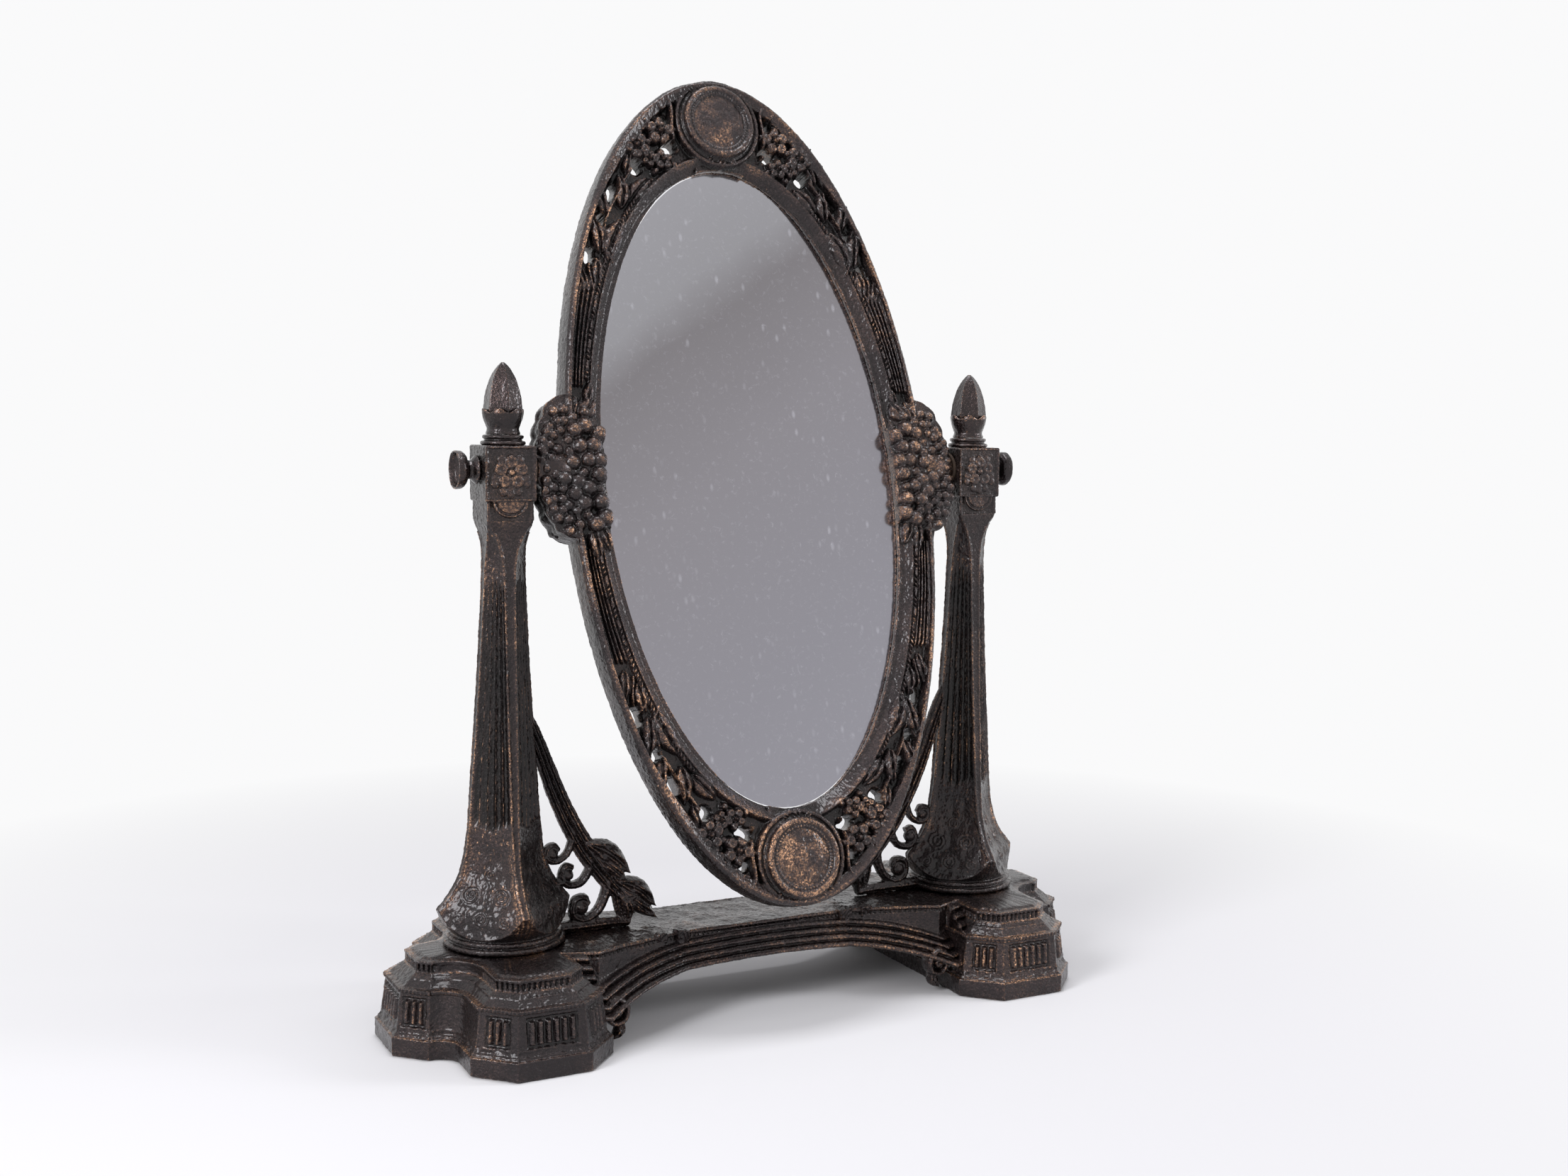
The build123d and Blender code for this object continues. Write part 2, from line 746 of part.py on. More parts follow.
# ---------------------------------------------------------------- mirror frame
half_frame = (frame_width / 2, frame_height / 2)
half_sight = (sight_width / 2, sight_height / 2)
half_rebate = (half_sight[0] + rebate_overlap, half_sight[1] + rebate_overlap)
half_lip = (half_sight[0] + lip_width, half_sight[1] + lip_width)


def oval(half_size, grow=0.0):
    """An oval on the frame's centre, its two half sizes grown by the same amount."""
    with Locations(oval_centre):
        return Ellipse(half_size[0] + grow, half_size[1] + grow)


def oval_point(half_size, angle):
    """Point of an oval, and the direction it faces there, in the mirror's plane."""
    turn = radians(angle)
    point = Vector(half_size[0] * cos(turn), half_size[1] * sin(turn) - frame_drop)
    outward = Vector(cos(turn) / half_size[0], sin(turn) / half_size[1]).normalized()
    return point, outward


def direction_angle(vector):
    """Angle of a vector in the mirror's plane, in degrees."""
    return degrees(atan2(vector.Y, vector.X))


# one quarter of the oval, from its centre: openings as place, width, height, lean
openings = [
    ((74.0, 110.2), 3.8, 8.8, 14),
    ((66.4, 128.2), 4.6, 5.4, 20),
    ((59.6, 142.6), 3.0, 8.8, 22),
    ((45.6, 156.6), 7.0, 5.8, 50),
    ((26.8, 166.2), 5.4, 8.4, 55),
    ((28.0, 183.2), 4.6, 4.8, 0),
]
leaves = [  # start, tip, width
    ((76.5, 92.0), (79.8, 106.0), 5.0),
    ((71.5, 96.0), (70.5, 110.0), 4.6),
    ((67.5, 110.0), (71.6, 130.0), 6.0),
    ((65.5, 110.0), (52.6, 131.5), 8.4),
    ((64.5, 127.0), (69.6, 145.0), 5.6),
    ((55.0, 137.0), (57.0, 160.0), 6.2),
    ((52.0, 141.0), (38.0, 150.5), 6.0),
    ((58.5, 150.0), (50.0, 170.0), 5.0),
]
flowers = [  # place, radius
    ((31.2, 174.6), 6.6),
    ((44.2, 167.0), 6.0),
    ((32.0, 160.8), 4.8),
    ((38.6, 179.6), 4.6),
]
quarters = [(hand, side) for hand in (1, -1) for side in (1, -1)]


def leaf_outline(start, tip, width):
    """Six corners of a pointed leaf."""
    root = Vector(*start)
    along = Vector(*tip) - root
    across = Vector(-along.Y, along.X).normalized() * (width / 2)
    return [
        root,
        root + along * 0.35 - across,
        root + along * 0.7 - across * 0.8,
        root + along,
        root + along * 0.7 + across * 0.8,
        root + along * 0.35 + across,
    ]


def opening_outline(place, width, height, lean):
    """Six corners of a long hexagon."""
    corners = []
    for across, up in ((0, 2), (-2, 1), (-2, -1), (0, -2), (2, -1), (2, 1)):
        corner = Vector(across * width / 4, up * height / 4).rotate(Axis.Z, lean)
        corners.append(corner + Vector(*place))
    return corners


def quarter_outlines(outline, mode=Mode.ADD):
    """Draw the same outline in all four quarters of the oval."""
    for hand, side in quarters:
        corners = [(hand * point.X, side * point.Y - frame_drop) for point in outline]
        if hand != side:
            corners.reverse()
        Polygon(*corners, align=None, mode=mode)


def pierce():
    """Cut the openings out of the drawing that is being made."""
    for place, width, height, lean in openings:
        quarter_outlines(opening_outline(place, width, height, lean), Mode.SUBTRACT)


with BuildPart() as mirror_frame:
    # rim
    with BuildSketch(frame_layer(-rim_back)):
        oval(half_frame)
        with Locations(oval_centre):
            Ellipse(half_frame[0] - rim_width, half_frame[1] - rim_width, mode=Mode.SUBTRACT)
    extrude(amount=rim_back + rim_front)
    # web
    with BuildSketch(frame_layer(-web_back)):
        oval(half_frame, -rim_width / 2)
        with Locations(oval_centre):
            Ellipse(half_sight[0], half_sight[1], mode=Mode.SUBTRACT)
        pierce()
    extrude(amount=web_back + web_front)
    # sloping lip around the glass
    with BuildSketch(frame_layer(0)):
        oval(half_lip)
        with Locations(oval_centre):
            Ellipse(half_sight[0], half_sight[1], mode=Mode.SUBTRACT)
    extrude(amount=lip_front)
    with BuildSketch(frame_layer(lip_edge)):
        oval(half_sight)
    with BuildSketch(frame_layer(lip_front)):
        oval(half_lip, -rim_width / 4)
    loft(ruled=True, mode=Mode.SUBTRACT)
    # sprays of leaves and flowers, pierced between them
    with BuildSketch(frame_layer(web_front)):
        for start, tip, width in leaves:
            quarter_outlines(leaf_outline(start, tip, width))
        with Locations(oval_centre):
            Ellipse(half_sight[0], half_sight[1], mode=Mode.SUBTRACT)
        pierce()
    extrude(amount=leaf_relief)
    with BuildSketch(frame_layer(web_front)):
        for (across, up), radius in flowers:
            for hand, side in quarters:
                with Locations((hand * across, side * up - frame_drop)):
                    RegularPolygon(radius, flower_sides)
        pierce()
    extrude(amount=flower_relief)
    # roundels at the top and the bottom
    for side in (1, -1):
        roundel_y = side * roundel_offset - frame_drop
        with BuildSketch(frame_layer(-web_back)):
            with Locations((0, roundel_y)):
                Circle(roundel_radius)
        extrude(amount=web_back + roundel_front)
        with BuildSketch(frame_layer(roundel_front)):
            with Locations((0, roundel_y)):
                Circle(roundel_ring_radius + roundel_ring_width / 2)
                Circle(roundel_ring_radius - roundel_ring_width / 2, mode=Mode.SUBTRACT)
        extrude(amount=roundel_ring_height)
        dome_middle = roundel_front + roundel_dome_height / 2
        with Locations(mirror_plane.location * Location((0, roundel_y, dome_middle))):
            Cone(roundel_dome_radius, roundel_crown_radius, roundel_dome_height)
    # clusters of berries around the two pivot bosses
    for hand in (1, -1):
        with BuildSketch(frame_layer(-web_back)):
            with Locations((hand * cluster_centre, 0)):
                Ellipse(cluster_width / 2, cluster_height / 2)
        extrude(amount=web_back + cluster_front)
        # every berry is a low prism with a smaller one on it
        for bottom, radius, rise in (
            (cluster_front, berry_radius, berry_rise),
            (cluster_front + berry_rise, berry_crown_radius, berry_crown_rise),
        ):
            with BuildSketch(frame_layer(bottom)):
                with Locations((hand * cluster_centre, 0)):
                    RegularPolygon(radius, berry_sides)
                    with PolarLocations(berry_spread, berry_ring_count, 30):
                        RegularPolygon(radius, berry_sides)
                    with GridLocations(berry_spread, 2 * berry_row_offset, 2, 2):
                        RegularPolygon(radius, berry_sides)
            extrude(amount=rise)
        boss_length = boss_face - half_frame[0] + rim_width
        with BuildSketch(Plane.YZ.offset(hand * boss_face)):
            with Locations((0, pivot_height)):
                Circle(boss_radius)
        extrude(amount=-hand * boss_length)
        with BuildSketch(Plane.YZ.offset(hand * boss_face)):
            with Locations((0, pivot_height)):
                Circle(thumb_stud_radius + running_clearance)
        extrude(amount=-hand * boss_bore_depth, mode=Mode.SUBTRACT)
    # rebate for the glass, the card and the plate
    with BuildSketch(frame_layer(0)):
        oval(half_rebate)
    extrude(amount=-rim_back - cluster_front, mode=Mode.SUBTRACT)
    # holes for the clip screws
    with BuildSketch(frame_layer(-web_back - rim_back)):
        for angle in clip_angles:
            point, outward = oval_point(half_rebate, angle)
            with Locations(point + outward * clip_seat):
                Circle(clip_screw_radius + running_clearance)
    extrude(amount=rim_back + clip_screw_length - clip_thickness + running_clearance, mode=Mode.SUBTRACT)
mirror_frame.part.label = "mirror_frame"
export_step(mirror_frame.part, "parts/mirror_frame.step")


# ---------------------------------------------------------------- glass and its backing
glass_back = -glass_thickness
card_back = glass_back - card_thickness
for label, back, thickness in (
    ("mirror_glass", glass_back, glass_thickness),
    ("backing_card", card_back, card_thickness),
    ("back_plate", -web_back, plate_thickness),
):
    with BuildPart() as layer:
        with BuildSketch(frame_layer(back)):
            oval(half_rebate, -glass_clearance)
        extrude(amount=thickness)
    layer.part.label = label
    export_step(layer.part, f"parts/{label}.step")

clip_seats = []
for angle in clip_angles:
    point, outward = oval_point(half_rebate, angle)
    clip_seats.append(point + outward * clip_seat)

with BuildPart() as retaining_clips:
    with BuildSketch(frame_layer(-web_back)):
        for angle, seat in zip(clip_angles, clip_seats):
            outward = oval_point(half_rebate, angle)[1]
            middle = seat + outward * (clip_width / 2 - clip_length / 2)
            with Locations(Location((middle.X, middle.Y), direction_angle(outward))):
                SlotOverall(clip_length, clip_width)
        with Locations(*clip_seats):
            Circle(clip_screw_radius + clip_hole_clearance, mode=Mode.SUBTRACT)
    extrude(amount=-clip_thickness)
retaining_clips.part.label = "retaining_clips"
export_step(retaining_clips.part, "parts/retaining_clips.step")

with BuildPart() as clip_screws:
    with BuildSketch(frame_layer(-web_back - clip_thickness)):
        with Locations(*clip_seats):
            Circle(clip_head_radius)
    extrude(amount=-clip_head_height)
    with BuildSketch(frame_layer(-web_back - clip_thickness)):
        with Locations(*clip_seats):
            Circle(clip_screw_radius)
    extrude(amount=clip_screw_length)
clip_screws.part.label = "clip_screws"
export_step(clip_screws.part, "parts/clip_screws.step")
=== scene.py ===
# %% [markdown]
# # A cast-iron swing mirror
#
# The real object is a heavy tabletop mirror, sand-cast in iron and finished like old
# bronze. Nearly every form on it left a mould, so its edges are soft, its skin is grainy
# and its raised places are rubbed to copper. This lesson builds it piece by piece over a
# fixed CAD frame. The frame says where things are, and the cells below give them the
# shapes and the skin of the casting.

# %% Load the fixed frame
import math

import bpy
import numpy as np
from mathutils import Matrix, Vector


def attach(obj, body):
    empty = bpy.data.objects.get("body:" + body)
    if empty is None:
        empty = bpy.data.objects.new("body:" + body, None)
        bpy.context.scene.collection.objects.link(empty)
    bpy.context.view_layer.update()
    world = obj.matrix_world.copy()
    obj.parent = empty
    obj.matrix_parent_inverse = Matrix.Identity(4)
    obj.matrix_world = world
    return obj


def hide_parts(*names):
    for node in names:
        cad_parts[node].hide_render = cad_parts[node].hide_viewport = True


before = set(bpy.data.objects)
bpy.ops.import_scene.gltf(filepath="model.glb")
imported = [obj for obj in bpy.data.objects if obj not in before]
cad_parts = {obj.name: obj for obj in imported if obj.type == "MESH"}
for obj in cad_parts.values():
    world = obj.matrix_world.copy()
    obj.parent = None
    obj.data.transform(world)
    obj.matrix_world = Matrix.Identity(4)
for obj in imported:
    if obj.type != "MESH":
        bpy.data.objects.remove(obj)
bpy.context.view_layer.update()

MM = 0.001

# %% [markdown]
# A few sizes are shared by many pieces: where the posts stand, where the mirror turns and
# how far it leans. They are given in millimetres, as a pattern maker would write them.

# %% Shared sizes
POST_X = 125.0
PIVOT_Z = 260.0
TILT = math.radians(16.0)
HEAD_LOW, HEAD_TOP = 245.7, 271.0
OVAL_DROP = 6.5
OVAL_OUT = (96.0, 203.5)
OVAL_IN = (78.0, 158.0)


def mirror_to_world(points):
    """Mirror plane (across, up from the pivot, out of the front) to world, in mm."""
    across, up, out = points[..., 0], points[..., 1], points[..., 2]
    ahead = up * math.sin(TILT) - out * math.cos(TILT)
    height = PIVOT_Z + up * math.cos(TILT) + out * math.sin(TILT)
    return np.stack([across, ahead, height], axis=-1)


print("mirror leans", round(math.degrees(TILT), 1), "degrees")

# %% [markdown]
# Two small helpers carry most of the modelling. One turns a grid of points into a skin of
# quads, so a form can be written as a formula over rows and columns. The other makes the
# Blender object, hands it to the body it moves with and hides the CAD solid that it
# stands for. It also turns the faces outward, since a mirrored copy comes inside out.

# %% Helpers for meshes
def quads_of(numbers):
    """The quads between neighbours in a table of point numbers."""
    corners = [numbers[:-1, :-1], numbers[:-1, 1:], numbers[1:, 1:], numbers[1:, :-1]]
    return np.stack(corners, axis=-1)


def grid_faces(rows, columns, wrap_columns=True, first=0):
    """Quads of a grid of points, whose rows are closed into rings unless told otherwise."""
    index = first + np.arange(rows * columns).reshape(rows, columns)
    if wrap_columns:
        index = np.hstack([index, index[:, :1]])
    return quads_of(index).reshape(-1, 4)


def face_outward(mesh):
    """Turn all faces about when the shape they close is inside out."""
    mesh.calc_loop_triangles()
    corners = np.empty(3 * len(mesh.loop_triangles), dtype=np.int32)
    mesh.loop_triangles.foreach_get("vertices", corners)
    points = np.empty(3 * len(mesh.vertices), dtype=np.float32)
    mesh.vertices.foreach_get("co", points)
    a, b, c = points.reshape(-1, 3)[corners].reshape(-1, 3, 3).transpose(1, 0, 2)
    if np.einsum("ij,ij->", a, np.cross(b, c)) < 0:
        mesh.flip_normals()


def make_piece(name, points_mm, faces, body, replaced=(), carving=None):
    """A smooth-shaded object from points in millimetres, with its carving kept beside it."""
    mesh = bpy.data.meshes.new(name)
    points = np.asarray(points_mm, dtype=float).reshape(-1, 3) * MM
    mesh.from_pydata(points.tolist(), [], [list(map(int, face)) for face in faces])
    if carving is not None:
        layer = mesh.attributes.new("carving", "FLOAT", "POINT")
        layer.data.foreach_set("value", np.asarray(carving, dtype=np.float32).ravel())
    mesh.validate()
    mesh.update()
    face_outward(mesh)
    mesh.shade_smooth()
    piece = bpy.data.objects.new(name, mesh)
    bpy.context.scene.collection.objects.link(piece)
    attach(piece, body)
    if replaced:
        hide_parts(*replaced)
    print(name, len(mesh.vertices), "points")
    return piece


def smooth_step(value, low, high):
    """0 below low, 1 above high and an S-curve between them."""
    share = np.clip((value - low) / (high - low), 0.0, 1.0)
    return share * share * (3 - 2 * share)


def soft_min(*values):
    """The smallest of several radii, with the corner between them a little rounded."""
    sharpness = 90.0
    total = sum(np.power(1.0 / np.maximum(value, 0.01), sharpness) for value in values)
    return np.power(total, -1.0 / sharpness)


def lumps(across, along, size, seed):
    """Smooth random bumps from -1 to 1, about size mm wide."""
    cells = 64
    table = np.random.default_rng(seed).uniform(-1, 1, (cells, cells))
    across, along = np.broadcast_arrays(across / size, along / size)
    column, row = np.floor(across).astype(int), np.floor(along).astype(int)
    s, t = smooth_step(across - column, 0, 1), smooth_step(along - row, 0, 1)
    left, right = column % cells, (column + 1) % cells
    low, high = row % cells, (row + 1) % cells
    below = table[low, left] * (1 - s) + table[low, right] * s
    above = table[high, left] * (1 - s) + table[high, right] * s
    return below * (1 - t) + above * t


def eased(knots, step=0.25, reach=5):
    """A table of (place, value) knots, sampled finely and blurred so it has no creases."""
    knots = np.array(knots, dtype=float)
    places = np.arange(knots[0, 0], knots[-1, 0] + step, step)
    values = np.interp(places, knots[:, 0], knots[:, 1])
    window = np.ones(2 * reach + 1) / (2 * reach + 1)
    for _ in range(2):
        values = np.convolve(np.pad(values, reach, mode="edge"), window, mode="valid")
    return places, values


print("helpers ready")

# %% [markdown]
# A round or many-sided upright form is a stack of outlines around an axis. Each row has a
# height, and a radius for every direction, so a post, a finial or a foot is one formula
# for the radius. The rows close to a point at both ends and the form is watertight.

# %% Helper for upright forms
def stacked_form(heights, radii, centre_x, turns):
    """Points and faces of a closed form: heights (rows), radii (rows, turns)."""
    x = centre_x + radii * np.cos(turns)
    y = radii * np.sin(turns)
    z = np.broadcast_to(heights[:, None], radii.shape)
    points = np.stack([x, y, z], axis=-1).reshape(-1, 3)
    rows, columns = radii.shape
    faces = [tuple(face) for face in grid_faces(rows, columns)]
    bottom = len(points)
    ends = np.array([[centre_x, 0, heights[0]], [centre_x, 0, heights[-1]]])
    points = np.vstack([points, ends])
    last = (rows - 1) * columns
    for column in range(columns):
        after = (column + 1) % columns
        faces.append((bottom, after, column))
        faces.append((bottom + 1, last + column, last + after))
    return points, faces


def turned(count, phase=0.0):
    """Evenly spaced directions around an axis."""
    return phase + np.linspace(0, 2 * math.pi, count, endpoint=False)


print("upright forms ready")

# %% [markdown]
# ## The posts
#
# Each post is one casting. Its shaft is square but stands cornerwise, because the mould
# parted along its corners. The four broad faces carry five flutes each. Below, the
# corners flare out to four points and a cone cuts the bell off beneath them. That leaves
# the round-bottomed faces and the hollow under each point. Above, the section twists back
# to a square block with a flower on it.

# %% Outline of the post at every height
CORNER_REACH = eased([
    [47.6, 36.6], [53.0, 34.6], [57.0, 33.2], [60.0, 31.9], [64.0, 28.2], [68.5, 24.6],
    [75.0, 21.2], [84.0, 18.6], [96.0, 17.0], [118.0, 15.5], [141.0, 13.6], [171.0, 11.6],
    [196.0, 10.2], [214.0, 9.4], [226.0, 9.0], [231.0, 9.6], [236.0, 11.0], [245.7, 11.0],
])
CORNER_FLAT = eased([
    [47.6, 1.6], [60.0, 1.4], [80.0, 1.5], [110.0, 1.8], [150.0, 2.1], [200.0, 2.4],
    [214.0, 2.6], [221.0, 3.3], [226.0, 4.6], [230.5, 6.4], [234.0, 8.8], [237.5, 10.6],
])
UNDERCUT = np.array([[47.6, 24.2], [48.6, 25.4], [52.0, 28.2], [56.0, 30.4], [59.5, 31.9],
                     [61.5, 32.3]])
FLUTES = 5
FLUTE_DEPTH = 0.42  # as a share of a flute's width
FLUTES_START, FLUTES_END = 94.0, 214.0
BELL_DISH = 1.7  # how hollow the bell's faces are at its foot
CREST = 0.5  # how far the corners stand out as a thin line
NECK_LOW, NECK_HALF, BLOCK_HALF = 237.4, 11.0, 12.0


def post_outline(height, turns):
    """Radius of the plain shaft and bell, half a face and the place across the face."""
    reach, flat = np.interp(height, *CORNER_REACH), np.interp(height, *CORNER_FLAT)
    across, along = np.abs(np.cos(turns)), np.abs(np.sin(turns))
    face = (reach + flat) / (across + along)
    radius = soft_min(reach / np.maximum(across, 1e-6), reach / np.maximum(along, 1e-6), face)
    place = (along - across) * face / math.sqrt(2)
    return radius, (reach - flat) / math.sqrt(2), place


def bell_dish(height):
    """Hollow of the bell's faces, which fades out up the shaft."""
    return BELL_DISH * (1 - smooth_step(height, 78, 108))


def post_carving(height, turns):
    """Flutes and hollow faces, cut in, and crests along the corners, standing out."""
    _, half_face, place = post_outline(height, turns)
    share = (place + half_face) / (2 * half_face)
    inside = smooth_step(share, 0.03, 0.07) * (1 - smooth_step(share, 0.93, 0.97))
    flute = np.abs(np.sin(math.pi * FLUTES * share)) ** 0.8
    ends = 4.0 * np.abs(2 * share - 1)
    length = smooth_step(height, FLUTES_START + ends, FLUTES_START + 4 + ends)
    length = length * (1 - smooth_step(height, FLUTES_END - 7 - ends, FLUTES_END - ends))
    flutes = -FLUTE_DEPTH * 2 * half_face / FLUTES * length * flute * inside
    dish = bell_dish(height) * (1 - np.abs(2 * share - 1) ** 3)
    crest = CREST * np.exp(-((half_face - np.abs(place)) / 1.1) ** 2) * (height < 232)
    return flutes - dish * inside + crest


print("corner reach at the bell:", round(float(np.interp(60, *CORNER_REACH)), 1), "mm")

# %% [markdown]
# The bell's faces are lightly hammered and carry small spirals drawn into the sand. The
# block above has a five-petalled flower inside a thin border, and half a disc hangs below
# it. All of these are raised or sunk by about two millimetres at most, so they are added
# to the radius as a relief.

# %% Reliefs on the post
BELL_SPIRALS = [  # across the face, height, radius, direction
    (8.0, 67.0, 4.8, 1), (-8.0, 67.0, 4.8, -1), (0.0, 57.5, 4.2, 1), (-12.5, 57.0, 3.4, 1),
    (12.5, 57.0, 3.4, -1), (0.0, 76.0, 3.2, -1),
]
LOW_LEAVES = [(-3.6, -8.0), (0.0, -8.8), (3.6, -8.0), (-7.6, -4.6), (7.6, -4.6)]
BELL_RELIEF_TOP = 92.0
FLOWER_LIFT = 0.6  # the flower's eye above the middle of the block


def spiral_line(across, up, radius, turns_count, hand):
    """Height from 0 to 1 of a spiral line drawn around the origin."""
    distance = np.hypot(across, up)
    angle = np.arctan2(up, across * hand)
    pitch = radius / turns_count
    phase = distance / pitch - angle / (2 * math.pi)
    line = np.abs(phase - np.round(phase)) * pitch
    return np.exp(-(line / 0.5) ** 2) * (1 - smooth_step(distance, radius - 0.5, radius + 0.8))


def dome(across, up, x, y, radius):
    """Half ball of height 1 at a place."""
    return np.sqrt(np.clip(1 - ((across - x) ** 2 + (up - y) ** 2) / radius ** 2, 0, 1))


def flower_height(across, up):
    """Relief of an open flower: five cupped petals round an eye, foliage round them."""
    relief = np.zeros_like(across)
    for number in range(5):
        angle = math.radians(90 + 72 * number)
        x, y = 4.8 * math.cos(angle), FLOWER_LIFT + 4.8 * math.sin(angle)
        petal = dome(across, up, x, y, 3.4)
        petal = petal - 0.55 * np.exp(-((across - x) ** 2 + (up - y) ** 2) / 2.2)
        relief = np.maximum(relief, 2.1 * petal)
        angle += math.pi / 5
        leaf_x, leaf_y = 7.4 * math.cos(angle), 0.2 + 7.4 * math.sin(angle)
        relief = np.maximum(relief, 1.15 * dome(across, up, leaf_x, leaf_y, 2.4))
    for x, y in LOW_LEAVES:
        relief = np.maximum(relief, 1.25 * dome(across, up, x, y, 2.1))
    return np.maximum(relief, 2.1 * dome(across, up, 0, FLOWER_LIFT, 1.9))


def bell_relief(height, turns):
    """Spirals and hammer marks on the four broad faces of the bell."""
    _, half_face, place = post_outline(height, turns)
    up = np.full_like(place, height)
    relief = np.zeros_like(turns)
    for centre, lift, size, hand in BELL_SPIRALS:
        relief += 0.55 * spiral_line(place - centre, (up - lift) * 1.2, size, 2.3, hand)
    other_face = 40 * np.sign(np.cos(turns)), 55 * np.sign(np.sin(turns))
    beaten = lumps(place + other_face[0], up + other_face[1], 3.4, 5)
    inside = 1 - smooth_step(np.abs(place) / half_face, 0.86, 0.97)
    fade = 1 - smooth_step(height, BELL_RELIEF_TOP - 10, BELL_RELIEF_TOP)
    return (relief + 0.42 * beaten) * inside * fade


def block_relief(height, turns):
    """Border and flower on the block, half disc below it; front and back faces only."""
    across, along = np.cos(turns), np.sin(turns)
    half = BLOCK_HALF if height > HEAD_LOW else NECK_HALF
    facing = np.abs(along) > np.abs(across) * 1.02
    x = np.where(facing, across / np.maximum(np.abs(along), 0.3) * half, half)
    up = np.full_like(x, height - (HEAD_LOW + HEAD_TOP) / 2)
    if height > HEAD_LOW:
        border = np.minimum(BLOCK_HALF - np.abs(x), BLOCK_HALF + 0.4 - np.abs(up))
        relief = -0.75 * smooth_step(border, 0.8, 1.3)
        relief = relief + flower_height(x, up)
    else:
        distance = np.hypot(x, (height - HEAD_LOW) * 1.15)
        relief = 0.7 * (1 - smooth_step(distance, 7.6, 8.2))
        relief = relief - 0.8 * np.exp(-((distance - 6.4) / 0.5) ** 2)
        relief = relief - 0.7 * (np.abs(x) < 9.6) * (distance > 8.2)
    return np.where(facing, relief / np.maximum(np.abs(along), 0.3), 0.0)


print("flower height:", round(float(flower_height(np.zeros(1), np.zeros(1))[0]), 2), "mm")

# %% [markdown]
# The post is now a stack of some six hundred rows, closer together where the block and
# the collar have edges. The collar is two low round tiers with rolled edges.

# %% Build the posts
COLLAR_TIERS = [(42.02, 44.9, 28.2), (44.9, 47.6, 26.7)]  # bottom, top, radius
POST_ROW = 0.42


def rolled(height, low, high, radius, roll):
    """Radius of a round tier whose two edges are rolled over."""
    edge = min(height - low, high - height)
    if edge >= roll:
        return radius
    return radius - roll + math.sqrt(max(roll ** 2 - (roll - edge) ** 2, 0.0))


def block_radius(height, half, low, high, turns):
    """Radius of a square block with softened edges."""
    bevel = 0.7
    edge = min(height - low, high - height)
    size = half - max(bevel - edge, 0.0) * 0.8
    across = size / np.maximum(np.abs(np.cos(turns)), 1e-6)
    along = size / np.maximum(np.abs(np.sin(turns)), 1e-6)
    return soft_min(across, along)


def post_rows(turns):
    """Heights, radii and carving of the whole post."""
    nothing = np.zeros_like(turns)
    rows = [(COLLAR_TIERS[0][0], nothing + 24.0, nothing)]
    for low, high, radius in COLLAR_TIERS:
        for height in np.linspace(low, high, 11):
            rows.append((height, nothing + rolled(height, low, high, radius, 1.3), nothing))
    for height in np.arange(47.7, NECK_LOW, POST_ROW):
        carving = post_carving(height, turns)
        if height < BELL_RELIEF_TOP:
            carving = carving + bell_relief(height, turns)
        radius = post_outline(height, turns)[0] + carving
        carving = np.where(carving < 0, 1.4 * carving + bell_dish(height), 2.6 * carving)
        if height < UNDERCUT[-1, 0]:
            radius = np.minimum(radius, np.interp(height, UNDERCUT[:, 0], UNDERCUT[:, 1]))
        rows.append((height, radius, carving))
    # The neck runs on into the shaft and the block, so neither of its ends is bevelled.
    for height in np.linspace(NECK_LOW, HEAD_LOW - 0.02, 28):
        relief = block_relief(height, turns)
        plain = block_radius(height, NECK_HALF, NECK_LOW - 7, HEAD_LOW + 4, turns)
        rows.append((height, plain + relief, relief))
    for height in np.linspace(HEAD_LOW, HEAD_TOP, 90):
        relief = block_relief(height, turns)
        plain = block_radius(height, BLOCK_HALF, HEAD_LOW, HEAD_TOP, turns)
        rows.append((height, plain + relief, relief))
    rows.append((HEAD_TOP, nothing + 6.0, nothing))
    return [np.array([row[k] for row in rows]) for k in range(3)]


post_turns = turned(512)
post_heights, post_radii, post_carved = post_rows(post_turns)
posts = {}
for side, hand in (("left", -1), ("right", 1)):
    points, faces = stacked_form(post_heights, post_radii, hand * POST_X, post_turns)
    posts[side] = make_piece(f"{side}_post_casting", points, faces, "stand",
                             [f"{side}_post"], np.append(post_carved.ravel(), [0, 0]))

# %% [markdown]
# ## The scroll brackets
#
# A stem leaves each shaft and runs down towards the bridge. Curled tendrils hang off it
# and leaves end it. A founder would carve the pattern from strips, so here each part is a
# strip too: a smooth line with a width at every point and a rounded section. Remeshing
# all strips together melts them into one casting.

# %% Strips, leaves and eyes
def smooth_line(knots, steps=10):
    """Catmull-Rom curve through rows of numbers: places, widths and the like."""
    knots = np.asarray(knots, dtype=float)
    ends = np.vstack([2 * knots[0] - knots[1], knots, 2 * knots[-1] - knots[-2]])
    line = []
    for number in range(len(knots) - 1):
        a, b, c, d = ends[number:number + 4]
        for t in np.linspace(0, 1, steps, endpoint=False):
            line.append(0.5 * (2 * b + (c - a) * t + (2 * a - 5 * b + 4 * c - d) * t ** 2
                               + (3 * b - a - 3 * c + d) * t ** 3))
    line.append(knots[-1])
    return np.array(line)


